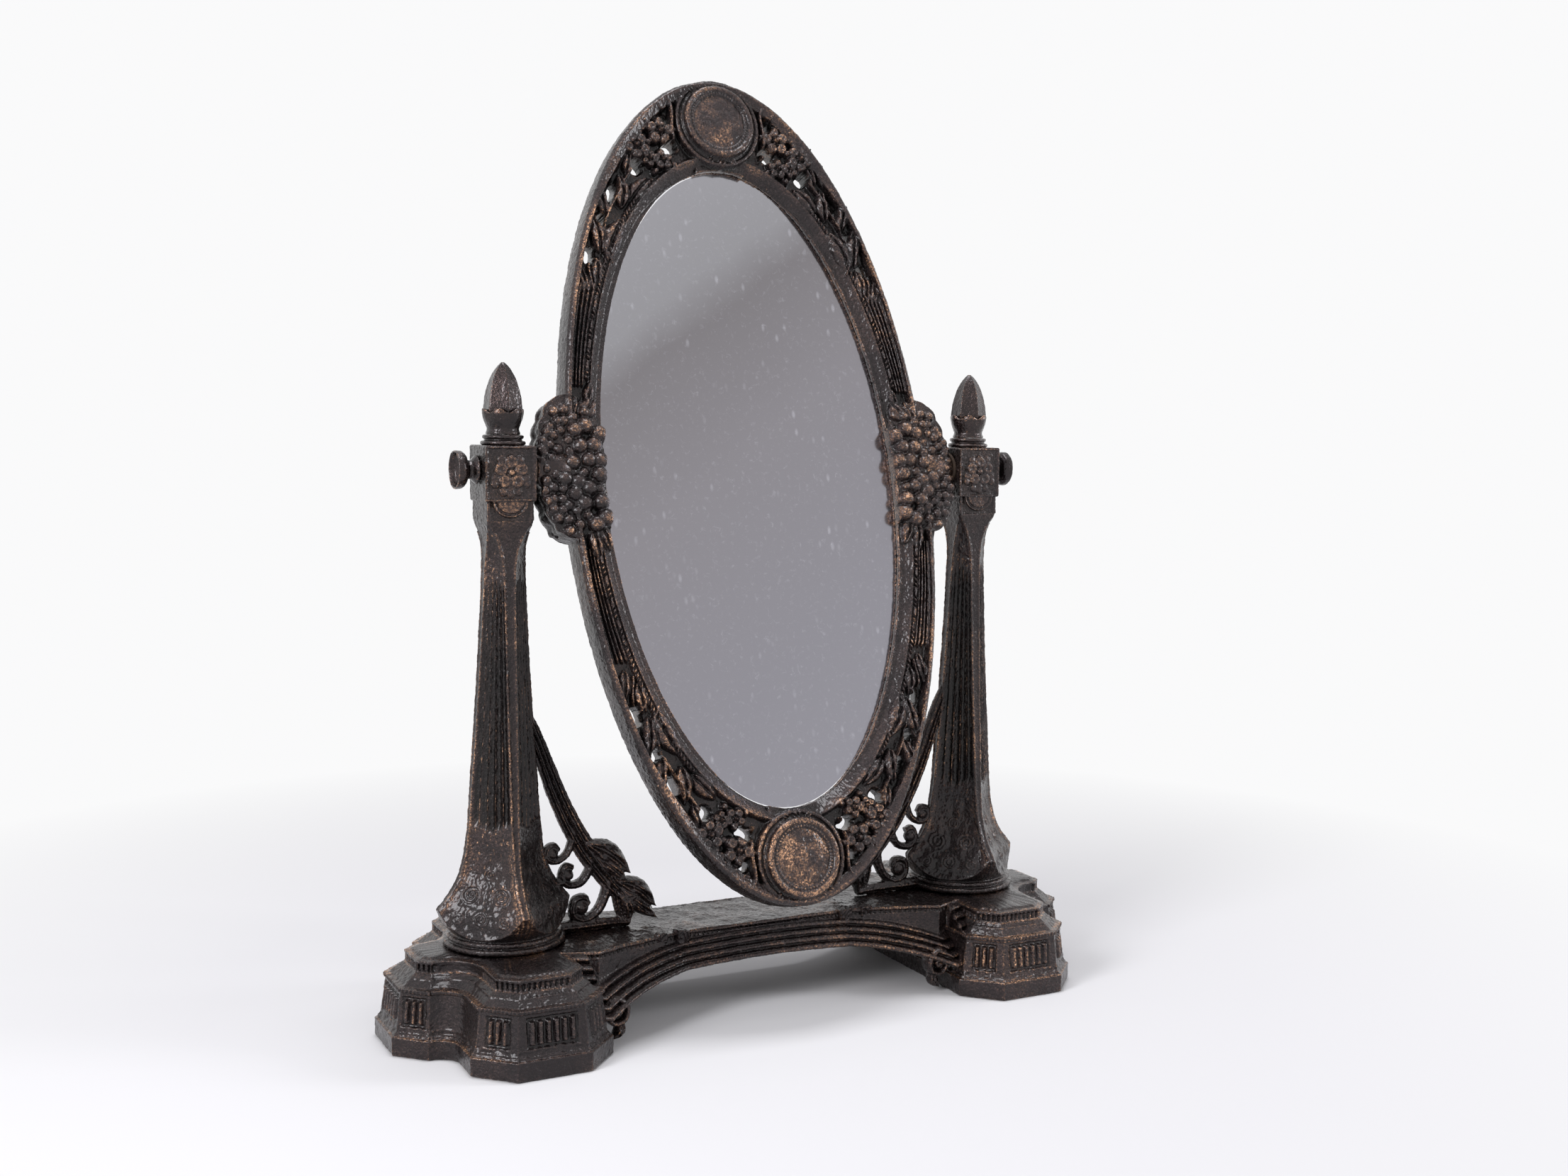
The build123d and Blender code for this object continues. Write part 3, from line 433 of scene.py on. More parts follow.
def strip(knots, section=20, ribs=0, rib_depth=0.0, steps=10):
    """Closed strip in a plane. Each knot is x, y, width, thickness."""
    line = smooth_line(knots, steps)
    along = np.gradient(line[:, :2], axis=0)
    along /= np.linalg.norm(along, axis=1)[:, None] + 1e-9
    across = np.stack([-along[:, 1], along[:, 0]], axis=1)
    turns = turned(section)
    lift = np.sign(np.sin(turns)) * np.abs(np.sin(turns)) ** 0.8
    if ribs:
        lift = lift * (1 - rib_depth * (0.5 - 0.5 * np.cos(ribs * math.pi * np.cos(turns))))
    side = across[:, None, :] * (line[:, 2, None] / 2 * np.cos(turns))[:, :, None]
    flat = line[:, None, :2] + side
    out = line[:, 3, None] / 2 * lift
    points = np.concatenate([flat, out[:, :, None]], axis=2).reshape(-1, 3)
    faces = [tuple(face) for face in grid_faces(len(line), section)]
    faces.append(tuple(range(section - 1, -1, -1)))
    faces.append(tuple(range((len(line) - 1) * section, len(line) * section)))
    return points, faces


def leaf(start, tip, width, thickness, bend):
    """Pointed leaf with a sunk midrib, from start to tip, bowed sideways by bend."""
    start, tip = np.array(start, dtype=float), np.array(tip, dtype=float)
    axis = tip - start
    side = np.array([-axis[1], axis[0]]) / np.linalg.norm(axis)
    rows, columns = 26, 21
    u = np.linspace(0, 1, rows)[:, None]
    w = np.linspace(-1, 1, columns)[None, :]
    half = width / 2 * np.sin(math.pi * np.clip(u, 0.02, 0.985)) ** 0.75 * (1.08 - 0.3 * u)
    middle = start + u[..., None] * axis + (bend * np.sin(math.pi * u))[..., None] * side
    flat = middle + (half * w)[..., None] * side
    crown = np.power(np.clip(1 - w ** 2, 0, 1), 0.55)
    rib = 1 - 0.42 * np.exp(-(w / 0.16) ** 2)
    vein = 1 + 0.13 * np.cos(14 * u - 7 * np.abs(w))
    lift = thickness / 2 * crown * rib * vein * (0.55 + 0.45 * np.sin(math.pi * u))
    top = np.concatenate([flat, lift[..., None]], axis=2).reshape(-1, 3)
    under = np.concatenate([flat, -lift[..., None]], axis=2).reshape(-1, 3)
    upper = grid_faces(rows, columns, wrap_columns=False)
    lower = grid_faces(rows, columns, wrap_columns=False, first=len(top))[:, ::-1]
    return np.vstack([top, under]), [tuple(f) for f in upper] + [tuple(f) for f in lower]


def gather(parts):
    """Join several point and face lists into one."""
    points, faces, first = [], [], 0
    for part_points, part_faces in parts:
        points.append(part_points)
        faces += [tuple(int(i) + first for i in face) for face in part_faces]
        first += len(part_points)
    return np.vstack(points), faces


def cast_together(piece, voxel_mm):
    """Melt overlapping parts into one skin and soften it."""
    remesh = piece.modifiers.new("melt", "REMESH")
    remesh.mode = "VOXEL"
    remesh.voxel_size = voxel_mm * MM
    remesh.use_smooth_shade = True
    relax = piece.modifiers.new("soften", "SMOOTH")
    relax.factor = 0.5
    relax.iterations = 1


print("strip helpers ready")

# %% [markdown]
# The strips are the stem, three curled tendrils, two ties to the shaft, the sill on the
# bridge and a strut. Places are given inwards from the post's axis and up from the table.
# Grooves along the stem make it look like stems laid side by side.

# %% Build the brackets
# Each strip runs through points of place inwards, height, width and thickness. The stem
# and the strut at its end carry four deep grooves, the other strips two shallow ones.
STEM, STRUT = 0, 7
BRACKET_STRIPS = [
    [(9, 153, 2.4, 3.4), (13.6, 140, 6.8, 6.8), (18.6, 127, 8.0, 7.4), (24.6, 111, 9.2, 7.8),
     (31.8, 95, 10.0, 8.0), (40, 80.5, 10.8, 8.6), (47.4, 70.5, 10.6, 8.8), (54, 62, 9.6, 9),
     (60, 56, 8.6, 9)],
    [(33.4, 96, 4.6, 5), (33.2, 87, 3.8, 5.4), (30.4, 79.6, 3.6, 5.6), (25, 76.4, 3.4, 5.6),
     (20.6, 78.4, 3.6, 5.6), (20.8, 82.8, 3.4, 5.6), (24.2, 84.2, 3.0, 5.4), (26.4, 81.4, 2.8, 5)],
    [(42.5, 80, 5.4, 6), (41.6, 71, 4.6, 6), (37.4, 65.2, 4.0, 6), (31.0, 64.4, 3.8, 6),
     (27.8, 68.8, 3.6, 6), (29.8, 73.6, 3.2, 5.8), (33.8, 72.6, 3.0, 5.4)],
    [(51.5, 66.5, 6.6, 7), (49.8, 57.8, 5.2, 6.6), (45.6, 50.0, 4.4, 6.4), (39.0, 46.9, 4.2, 6.4),
     (33.6, 50, 4.2, 6.4), (34.4, 56.6, 3.8, 6.2), (39.4, 57.6, 3.4, 6), (41.2, 54, 3.0, 5.6)],
    [(12, 78.4, 5.0, 5.4), (21.0, 79, 4.0, 5.4)],
    [(16, 65.6, 6, 6), (28.6, 66, 4.4, 5.8)],
    [(25, 44.2, 6.4, 8), (38, 44.2, 6.0, 8), (50, 44.2, 5.8, 8), (62, 43.6, 4.6, 7.4)],
    [(56, 60, 6.4, 8), (57.6, 51, 6.4, 8), (58.8, 45.4, 4.6, 7)],
]
BRACKET_LEAVES = [
    ((38.5, 84.4), (62.2, 67.2), 11.6, 11.0, 2.4), ((43, 78.6), (60.6, 63.8), 8.4, 9.4, 0.4),
    ((54, 64.4), (75.6, 49.4), 10.4, 11.0, 2.8), ((56, 60.6), (76.4, 43.8), 9.0, 10.4, -0.6),
    ((57, 61), (62.0, 43.2), 8.4, 10.6, 1.2),
]
BRACKET_EYES = [(23.4, 80.4, 3.1), (30.8, 69.4, 3.2), (37.8, 52.8, 3.7)]


def bead(x, y, radius, thick):
    """A small round bead lying in the plane, thick times as deep as it is wide."""
    turns = turned(20)
    rise = np.linspace(-math.pi / 2, math.pi / 2, 11)
    ring = np.cos(rise)[:, None] * radius
    px = x + ring * np.cos(turns)
    py = y + ring * np.sin(turns)
    pz = np.broadcast_to(np.sin(rise)[:, None] * radius * thick, px.shape)
    points = np.stack([px, py, pz], axis=-1).reshape(-1, 3)
    return points, [tuple(face) for face in grid_faces(11, 20)]


def bracket_parts():
    """All strips, leaves and eyes of one bracket, in its own plane."""
    parts = []
    for number, knots in enumerate(BRACKET_STRIPS):
        ribs, rib_depth = (4, 0.8) if number in (STEM, STRUT) else (2, 0.22)
        parts.append(strip(knots, section=44, ribs=ribs, rib_depth=rib_depth, steps=14))
    for start, tip, width, thickness, bend in BRACKET_LEAVES:
        parts.append(leaf(start, tip, width, thickness, bend))
    for x, y, radius in BRACKET_EYES:
        parts.append(bead(x, y, radius, 1.05))
    return gather(parts)


bracket_points, bracket_faces = bracket_parts()
brackets = {}
for side, hand in (("left", -1), ("right", 1)):
    reach, height, out = bracket_points.T
    points = np.stack([hand * (POST_X - reach), -out, height], axis=1)
    brackets[side] = make_piece(f"{side}_bracket_casting", points, bracket_faces, "stand",
                                [f"{side}_post"])
    cast_together(brackets[side], 0.42)

# %% [markdown]
# ## The base
#
# Base and bridge are one hollow casting. A foot is the same outline again and again, moved
# in a little at every level, so its profile is a list of heights and insets. The outline
# keeps the same number of points on every facet. A reed therefore stays at its place from
# row to row, however much the facet shrinks.

# %% Outline of a foot
NO_REED = 99.0  # place given to the hollow between two lobes, beyond every reed


def foot_outline(inset):
    """Points, outward normals, place along the facet and facet number of one level."""
    half_x, half_y = 33.5 - inset, 70.5 - inset
    arm_x, arm_y = 57.5 - inset, 28.5 - inset
    cut_front = 16.2 - 0.586 * inset
    cut_side = 13.2 - 0.586 * inset
    cove = 10 + 0.5 * inset
    upper = [
        (half_x, 0.0), (half_x, half_y - cut_front), (half_x - cut_front, half_y),
        (cut_front - half_x, half_y), (-half_x, half_y - cut_front), (-half_x, arm_y + cove),
    ]
    lower = [
        (-half_x - cove, arm_y), (cut_side - arm_x, arm_y), (-arm_x, arm_y - cut_side),
        (-arm_x, 0.0),
    ]
    runs = []
    for number, (a, b) in enumerate(zip(upper, upper[1:])):
        runs.append((np.array(a), np.array(b), number))
    runs.append(("cove", (-half_x - cove, arm_y + cove), cove))
    for number, (a, b) in enumerate(zip(lower, lower[1:])):
        runs.append((np.array(a), np.array(b), 6 + number))
    counts = [88, 37, 55, 37, 26, 26, 3, 30, 26]
    points, normals, places, facets = [], [], [], []
    for run, count in zip(runs, counts):
        t = np.linspace(0, 1, count, endpoint=False)
        if isinstance(run[0], str):
            angle = np.radians(-90 * t)
            centre = np.array(run[1])
            out = np.stack([np.cos(angle), np.sin(angle)], axis=1)
            points.append(centre + run[2] * out)
            normals.append(-out)
            places.append(np.full(count, NO_REED))
            facets.append(np.full(count, -1))
            continue
        a, b, number = run
        direction = (b - a) / np.linalg.norm(b - a)
        normal = np.array([direction[1], -direction[0]])
        length = np.linalg.norm(b - a)
        place = (t - 0.5) * length
        if number == 0:
            place = t * length
        if number == 8:
            place = (t - 1) * length
        points.append(a + t[:, None] * (b - a))
        normals.append(np.tile(normal, (count, 1)))
        places.append(place)
        facets.append(np.full(count, number))
    points, normals = np.vstack(points), np.vstack(normals)
    places, facets = np.concatenate(places), np.concatenate(facets)
    flip = np.array([1, -1])
    points = np.vstack([points, [[-arm_x, 0.0]], points[:0:-1] * flip])
    normals = np.vstack([normals, [[-1.0, 0.0]], normals[:0:-1] * flip])
    places = np.concatenate([places, [0.0], places[:0:-1]])
    facets = np.concatenate([facets, [8], facets[:0:-1]])
    return points, normals, places, facets


REEDS_ON = {1: 3, 2: 6, 3: 3, 7: 3, 8: 6}
print("points in one foot outline:", len(foot_outline(0)[0]))

# %% [markdown]
# The reeds stand in shallow panels, and a row of small blocks runs round under the top
# edge. Both are pushes along the outline's normal. Every edge of the profile is eased by
# sampling it finely and blurring it a little, as sand does to a pattern.

# %% Profile and relief of a foot
FOOT_PROFILE = [
    (0.25, 1.0), (0.8, 0.45), (9.0, 0.35), (9.3, 1.6), (10.4, 1.9), (10.7, 2.6), (11.5, 2.9),
    (28.2, 5.0), (28.6, 4.1), (30.2, 4.1), (30.5, 7.0), (31.2, 7.8), (35.4, 12.6),
    (35.9, 13.5), (39.0, 13.5), (39.4, 13.0), (40.6, 13.1), (41.0, 15.8), (41.7, 16.8),
    (41.9, 18.0),
]
FOOT_CRESTS = (9.1, 28.5, 30.3, 35.5, 40.7)
CAVITY_PROFILE = [(37.0, 18.2), (28.5, 9.8), (10.0, 5.6), (0.25, 5.0)]


def along_profile(profile, pitch):
    """Even points along a profile of (height, inset), lightly blurred."""
    knots = np.array(profile)
    run = np.concatenate([[0], np.cumsum(np.hypot(*np.diff(knots, axis=0).T))])
    places = np.linspace(0, run[-1], int(run[-1] / pitch) + 1)
    line = np.stack([np.interp(places, run, knots[:, k]) for k in (0, 1)], axis=1)
    blurred = line.copy()
    blurred[1:-1] = 0.25 * line[:-2] + 0.5 * line[1:-1] + 0.25 * line[2:]
    return blurred


def foot_relief(height, places, facets):
    """How far the surface stands out from the plain profile."""
    relief = np.zeros_like(places)
    if 13.0 < height < 27.2:
        inside = smooth_step(height, 13.2, 13.9) * (1 - smooth_step(height, 26.2, 26.9))
        for facet, reeds in REEDS_ON.items():
            pitch = 3.7 if reeds > 3 else 3.5
            half = reeds * pitch / 2
            panel = 1 - smooth_step(np.abs(places), half + 0.2, half + 0.9)
            phase = places / pitch + (0.5 if reeds % 2 == 0 else 0.0)
            reed = np.sqrt(np.clip(1 - ((phase - np.round(phase)) * pitch / 1.35) ** 2, 0, 1))
            rise = smooth_step(height, 14.6, 15.6) * (1 - smooth_step(height, 24.6, 25.8))
            relief = np.where(facets == facet, inside * panel * (-1.1 + 2.3 * reed * rise), relief)
    if 35.8 < height < 39.3:
        phase = places / 2.5
        block = smooth_step(np.abs(np.sin(math.pi * phase)), 0.35, 0.8)
        relief = relief - 1.2 * (1 - block) * smooth_step(height, 36.0, 36.6) * (
            1 - smooth_step(height, 38.7, 39.2)) + 0.3 * block
    if 28.4 < height < 30.4:
        relief = relief + 0.3 * np.sin(2 * math.pi * places / 1.9)
    if 32.6 < height < 35.2:
        relief = relief + 0.45 * np.exp(-((height - 33.6) / 0.4) ** 2)
    if 9.4 < height < 13.4:
        relief = relief + 0.35 * lumps(places + 30 * facets, height + 0 * places, 1.6, 3)
    return relief


def foot_rows():
    """Rows and carving of one foot: down the inside, round the bottom and up the outside."""
    count = len(foot_outline(0)[0])
    rows, carved = [np.zeros((count, 3)) + [0, 0, 37.0]], [np.zeros(count)]
    for height, inset in along_profile(CAVITY_PROFILE, 2.0):
        outline = foot_outline(inset)[0]
        rows.append(np.column_stack([outline, np.full(count, height)]))
        carved.append(np.full(count, -1.0))
    for height, inset in along_profile(FOOT_PROFILE, 0.34):
        outline, normals, places, facets = foot_outline(inset)
        relief = foot_relief(height, places, facets)
        rows.append(np.column_stack([outline + relief[:, None] * normals, np.full(count, height)]))
        crest = sum(math.exp(-((height - level) / 0.4) ** 2) for level in FOOT_CRESTS)
        carved.append(relief + 1.4 * crest)
    for share in (0.75, 0.45, 0.0):
        rows.append(rows[-1] * [share, share, 0] + [0, 0, 41.95])
        carved.append(np.zeros(count))
    return np.array(rows), np.array(carved)


foot_points, foot_carved = foot_rows()
feet = []
for side, hand in (("left", 1), ("right", -1)):
    points = foot_points.reshape(-1, 3) * [hand, 1, 1] - [hand * POST_X, 0, 0]
    feet.append(make_piece(f"{side}_foot_casting", points, grid_faces(*foot_carved.shape),
                           "stand", ["base_casting"], foot_carved))

# %% [markdown]
# The bridge is one cross-section drawn again at every step from foot to foot. Its
# underside arches, its four lower mouldings follow the arch as rounded reeds and its sides
# flare out where they run into the feet. A row of small blocks runs along under its edge.

# %% The bridge
CROWN_HALF = 48.0  # the flat crown of the arch ends here, from mid span
FOOT_FACE = 91.5  # inner face of a foot
BRIDGE_TOP = 41.8
BRIDGE_END = 112  # the bridge runs on into the feet


def arch_height(x):
    """Underside of the bridge: a flat crown that falls more and more to the feet."""
    run = np.clip((np.abs(x) - CROWN_HALF) / (FOOT_FACE - CROWN_HALF), 0, None)
    crown = 26.0 - 2.0 * (np.minimum(np.abs(x), CROWN_HALF) / CROWN_HALF) ** 2
    fall = 3.6 * run + 6.4 * run ** 2
    low = np.where(np.abs(x) < CROWN_HALF, crown, 24.0 - np.minimum(fall, 10.0))
    return np.where(np.abs(x) > 97, 28.0, low)


def bridge_half(x, layer):
    """Half width of moulding number layer, the lowest being 0."""
    above = 4 - layer
    share = np.clip((np.abs(x) - 44.0) / 47.5, 0, 1)
    flare = np.where(share < 1, 0.72 * share + 0.28 * share ** 3, 1.0)
    half = 21.5 + 2.1 * above + (14 + 2.5 * above) * flare
    return half - 7.2 * np.clip((np.abs(x) - FOOT_FACE) / 18.0, 0, 1)


def bridge_section(x):
    """Half of the cross-section at x: rows of y, z and carving from the top middle round."""
    low = float(arch_height(np.array(x)))
    top = float(bridge_half(np.array(x), 4))
    line = [(y, BRIDGE_TOP, 0.0) for y in np.linspace(0, top - 1.4, 44)]
    line += [(top - 0.6, 41.7, 0.8), (top - 0.1, 41.2, 0.9), (top, 40.6, 0.6), (top, 40.2, 0.2)]
    block = smooth_step(abs(math.sin(math.pi * x / 2.5)), 0.35, 0.8)
    dent = -1.0 * (1 - block)
    line += [(top - 0.5 + dent, 39.9, dent), (top - 0.5 + dent, 38.6, dent), (top - 0.3, 38.2, 0.2)]
    line += [(top - 0.3, z, 0.0) for z in np.linspace(38.0, max(low + 13.3, 30), 12)]
    for layer in (3, 2, 1, 0):
        half = float(bridge_half(np.array(x), layer))
        inner = float(bridge_half(np.array(x), layer + 1)) - 0.5
        bottom = low + 3.2 * layer
        for angle in np.linspace(82, -78, 11):
            rise, reach = math.sin(math.radians(angle)), math.cos(math.radians(angle))
            line.append((inner + (half - inner) * reach, bottom + 1.6 + 1.6 * rise,
                         1.6 * reach - 0.9))
    line += [(float(bridge_half(np.array(x), 0)) - 2.6, low, 0.0)]
    hollow = 18.6 + 14 * float(np.clip((abs(x) - 46) / 45.5, 0, 1))
    line += [(hollow, low, -1), (hollow, 37.0, -1)]
    line += [(y, 37.0, -1) for y in np.linspace(hollow - 1, 0, 6)]
    return line


def bridge_mesh():
    """Points, faces and carving of the bridge, with a beaten and worn top."""
    rows = []
    for x in np.linspace(-BRIDGE_END, BRIDGE_END, 760):
        half = bridge_section(float(x))
        ring = half + [(-y, z, carved) for y, z, carved in half[-2:0:-1]]
        rows.append([(x, y, z, carved) for y, z, carved in ring])
    rows = np.array(rows)
    x, y = rows[..., 0], rows[..., 1]
    beaten = 0.35 * lumps(x, y, 9.0, 11) + 0.25 * lumps(x, y, 3.6, 12)
    top = rows[..., 2] > BRIDGE_TOP - 0.05
    rows[..., 2] = rows[..., 2] + np.where(top, beaten - 0.35, 0)
    rows[..., 3] = np.where(top, 1.3 * beaten + 0.2, rows[..., 3])
    faces = [tuple(face)[::-1] for face in grid_faces(*rows.shape[:2])]
    columns = rows.shape[1]
    faces.append(tuple(range(columns))[::-1])
    faces.append(tuple(range((rows.shape[0] - 1) * columns, rows.shape[0] * columns)))
    return rows[..., :3].reshape(-1, 3), faces, rows[..., 3]


bridge_points, bridge_faces, bridge_carved = bridge_mesh()
bridge = make_piece("bridge_casting", bridge_points, bridge_faces, "stand",
                    ["base_casting"], bridge_carved)
print("arch at mid span:", float(arch_height(np.array(0.0))), "mm")

# %% [markdown]
# Small scrolls fill the corners where the arch meets a foot, and leaves fold over the
# bridge's edges. They are melted into one piece of trim that overlaps the big forms.

# %% Scrolls, clasps and the finished base
def placed(part, place):
    """A part whose points are passed through place(x, y, out)."""
    points, faces = part
    return np.array([place(*point) for point in points]), faces


def scroll_knots():
    """A spiral of one and a half turns, thick outside and thin inside."""
    knots = []
    for number in range(10):
        angle = math.radians(150 - 62 * number)
        radius = 7.2 - 0.62 * number
        knots.append((radius * math.cos(angle), radius * math.sin(angle),
                      4.0 - 0.2 * number, 9.0))
    return knots


CLASP_LEAVES = [
    ((0, 6.5), (0.6, -14.5), 8.6, 0.8), ((-1.6, 4.0), (-8.6, -7.6), 6.4, -1.6),
    ((1.6, 4.0), (8.6, -7.6), 6.4, 1.6), ((-2.6, -1.0), (-5.4, -12.6), 5.0, -1.0),
    ((2.6, -1.0), (5.4, -12.6), 5.0, 1.0),
]


def clasp_parts(centre, side):
    """A ruffled leaf folded over the bridge's edge."""
    edge = float(bridge_half(np.array(centre), 4))

    def folded(x, y, out):
        if y > 0:
            return (centre + x, side * (edge - 0.9 * y), 41.9 + 0.5 * out)
        fall = edge + 0.28 * y
        return (centre + x, side * (fall + 0.85 * out), 42.0 + y + 0.3 * out)

    return [placed(leaf(start, tip, width, 6.4, bend), folded)
            for start, tip, width, bend in CLASP_LEAVES]


trim_parts = []
for hand in (-1, 1):
    for side in (-1, 1):
        def at_corner(x, y, out, hand=hand, side=side):
            return (hand * (86.6 - x), side * (41.0 + out), 14.6 + y)
        trim_parts.append(placed(strip(scroll_knots()), at_corner))
        trim_parts.append(placed(bead(0, 0, 2.4, 2.0), at_corner))
        trim_parts.append(placed(leaf((4.0, -4.0), (-1.0, -12.6), 6.0, 8.0, 1.0), at_corner))
        trim_parts += clasp_parts(hand * 50.0, side)
trim_points, trim_faces = gather(trim_parts)
trim = make_piece("base_scrolls_and_clasps", trim_points, trim_faces, "stand",
                  ["base_casting"])
cast_together(trim, 0.4)
base_pieces = feet + [bridge, trim]

# %% [markdown]
# ## Finials and thumb screws
#
# A finial is an acorn with six faces that sits in a scalloped cup. It is again a stack of
# radii, and so is the thumb screw, lying on its side.

# %% Finials, collars and thumb screws
def polygon_radius(turns, sides, reach, phase=0.0):
    """Radius of a rounded polygon whose corners are at reach."""
    sector = 2 * math.pi / sides
    local = (turns - phase + sector / 2) % sector - sector / 2
    flat = reach * math.cos(sector / 2) / np.cos((np.abs(local) - sector / 2))
    corner = np.abs(local) / (sector / 2)
    return flat * (1 + 0.012 * np.cos(math.pi * corner)) - 0.12 * (1 - corner)


CUP = eased([[0, 7.7], [0.8, 7.9], [1.6, 7.4], [2.6, 7.2], [4.4, 7.9], [7, 8.9], [9.6, 9.35]],
            0.1, 3)
ACORN = eased([[9.7, 8.9], [12, 9.1], [16.7, 8.55], [20, 7.8], [24.2, 6.5], [27, 5.2],
               [29.4, 3.7], [31.0, 2.4], [32.0, 1.3], [32.5, 0.6]], 0.1, 3)


def finial_rows(turns):
    """Heights above the collar and radii of the cup and the acorn."""
    heights, radii = [], []
    scallop = np.abs(np.cos(3 * turns)) ** 1.5
    for height in np.linspace(0, 9.4, 40):
        bulge = 0.55 * (scallop - 0.5) * smooth_step(height, 3, 9)
        heights.append(height + 0 * turns)
        radii.append(np.interp(height, *CUP) + bulge)
    rim = 9.4 + 2.1 * scallop
    heights += [rim, rim + 0.35, rim + 0.1]
    radii += [radii[-1] + 0.1, radii[-1] - 0.45, radii[-1] - 1.2]
    for share_up in np.linspace(0.0, 1.0, 90):
        top = 10.2 + (32.4 - 10.2) * share_up
        reach = float(np.interp(top, *ACORN))
        heights.append(np.maximum(top, rim - 0.4) if share_up < 0.06 else top + 0 * turns)
        radii.append(polygon_radius(turns, 6, reach, math.pi / 6) - (share_up < 0.02) * 0.25)
    return np.array(heights), np.array(radii)


def lathe(heights, radii, turns):
    """Points and faces of rows that may differ in height around the axis."""
    x, y = radii * np.cos(turns), radii * np.sin(turns)
    rows = np.stack([x, y, heights], axis=-1)
    first, last = rows[:1].copy(), rows[-1:].copy()
    first[..., :2], last[..., :2] = 0, 0
    rows = np.vstack([first, rows, last])
    return rows.reshape(-1, 3), [tuple(face) for face in grid_faces(*rows.shape[:2])]


def profile_lathe(profile, turns, wobble=None):
    """Lathe from a plain list of (height, radius)."""
    knots = np.array(profile, dtype=float)
    heights = knots[:, :1] + 0 * turns
    radii = knots[:, 1:] + 0 * turns
    if wobble is not None:
        radii = radii * (1 + wobble)
    return lathe(heights, radii, turns)


def rounded_profile(knots, pitch=0.3):
    """A profile resampled finely, so that its skin can be grainy and its edges soft."""
    fine = along_profile(knots, pitch)
    fine[1:-1] = 0.25 * fine[:-2] + 0.5 * fine[1:-1] + 0.25 * fine[2:]
    return fine


KNOB_PROFILE = rounded_profile([
    (137.2, 0.01), (137.2, 6.4), (138.0, 6.6), (139.0, 5.6), (140.2, 4.3), (141.6, 4.2),
    (142.2, 5.0), (143.0, 7.0), (144.4, 8.3), (145.4, 8.65), (147.4, 8.75), (147.85, 8.6),
    (147.85, 8.05), (147.2, 7.7), (145.2, 6.9), (143.9, 5.2), (143.5, 3.0), (143.7, 1.8),
    (144.1, 1.0), (144.1, 0.01),
], 0.22)
COLLAR_PROFILE = rounded_profile([
    (271.0, 9.4), (271.3, 10.1), (272.2, 10.3), (272.9, 9.9), (273.2, 8.6), (273.7, 8.5),
    (274.0, 9.2), (274.9, 9.5), (275.5, 9.2), (275.75, 8.4),
], 0.2)
turns = turned(220)
small_castings = []
for side, hand in (("left", -1), ("right", 1)):
    points, faces = lathe(*finial_rows(turns), turns)
    finial = make_piece(f"{side}_finial_acorn", points + [hand * POST_X, 0, 275.8], faces,
                        "stand", [f"{side}_finial"])
    collar = profile_lathe(COLLAR_PROFILE, turns)
    ring = make_piece(f"{side}_finial_ring", collar[0] + [hand * POST_X, 0, 0], collar[1],
                      "stand", [f"{side}_finial_collar"])
    wobble = 0.012 * np.sin(3 * turns + hand) + 0.01 * np.sin(7 * turns + 1.3)
    knob = profile_lathe(KNOB_PROFILE, turns, wobble)
    across = np.stack([hand * knob[0][:, 2], knob[0][:, 0], PIVOT_Z + knob[0][:, 1]], axis=1)
    screw = make_piece(f"{side}_thumb_screw_knob", across, knob[1], f"{side}_screw",
                       [f"{side}_thumb_screw"])
    small_castings += [finial, ring, screw]

# %% [markdown]
# ## The mirror frame
#
# The frame is an oval band with everything on it: a plain lip round the glass, pierced
# leaves and flowers, reeds, round bosses and bunches of berries at the pivots. It is
# modelled as a field of heights over the band, the way a carver cuts a low relief. Rows
# run round the oval, columns run across it, and every ornament is stamped on the field.

# %% The band and its outline
AROUND, ACROSS = 2800, 104


def oval_distance(u, v, half):
    """Roughly how far outside an ellipse a place lies, in mm."""
    reach = np.sqrt((u / half[0]) ** 2 + (v / half[1]) ** 2)
    slope = np.sqrt((u / half[0] ** 2) ** 2 + (v / half[1] ** 2) ** 2) / reach
    return (reach - 1) / slope


def pivot_bulge(v):
    """How far the outline stands out beside the pivots."""
    y = v - OVAL_DROP
    body = np.sqrt(np.clip(1 - (y / 34.0) ** 2, 0, 1)) ** 0.8 * 14.2
    knobs = 1.1 * np.abs(np.sin(y / 2.7 + 0.6)) * (np.abs(y) < 31)
    return np.clip(body + knobs, 0, None)


parameter = turned(AROUND, math.pi / 2)[:, None]
share = np.linspace(0, 1, ACROSS)[None, :]
inner_u, inner_v = OVAL_IN[0] * np.cos(parameter), OVAL_IN[1] * np.sin(parameter)
outer_u, outer_v = OVAL_OUT[0] * np.cos(parameter), OVAL_OUT[1] * np.sin(parameter)
outer_u = outer_u + np.sign(outer_u) * pivot_bulge(outer_v)
field_u = inner_u + share * (outer_u - inner_u)
field_v = inner_v + share * (outer_v - inner_v)
print("band:", field_u.shape, "points")

# %% [markdown]
# An ornament is a small function that lifts the field near its place. Two heights meet in
# a soft seam, so overlapping leaves and petals keep the smooth look of cast metal. Left
# and right are alike, and so are top and bottom. The ornament is thus written for one
# quarter and read through absolute coordinates.

# %% Stamps for the relief
def blend_up(low, high, seam=0.45):
    """The larger of two heights with a soft seam."""
    mix = np.clip(0.5 + 0.5 * (high - low) / seam, 0, 1)
    return low + (high - low) * mix + seam * mix * (1 - mix)


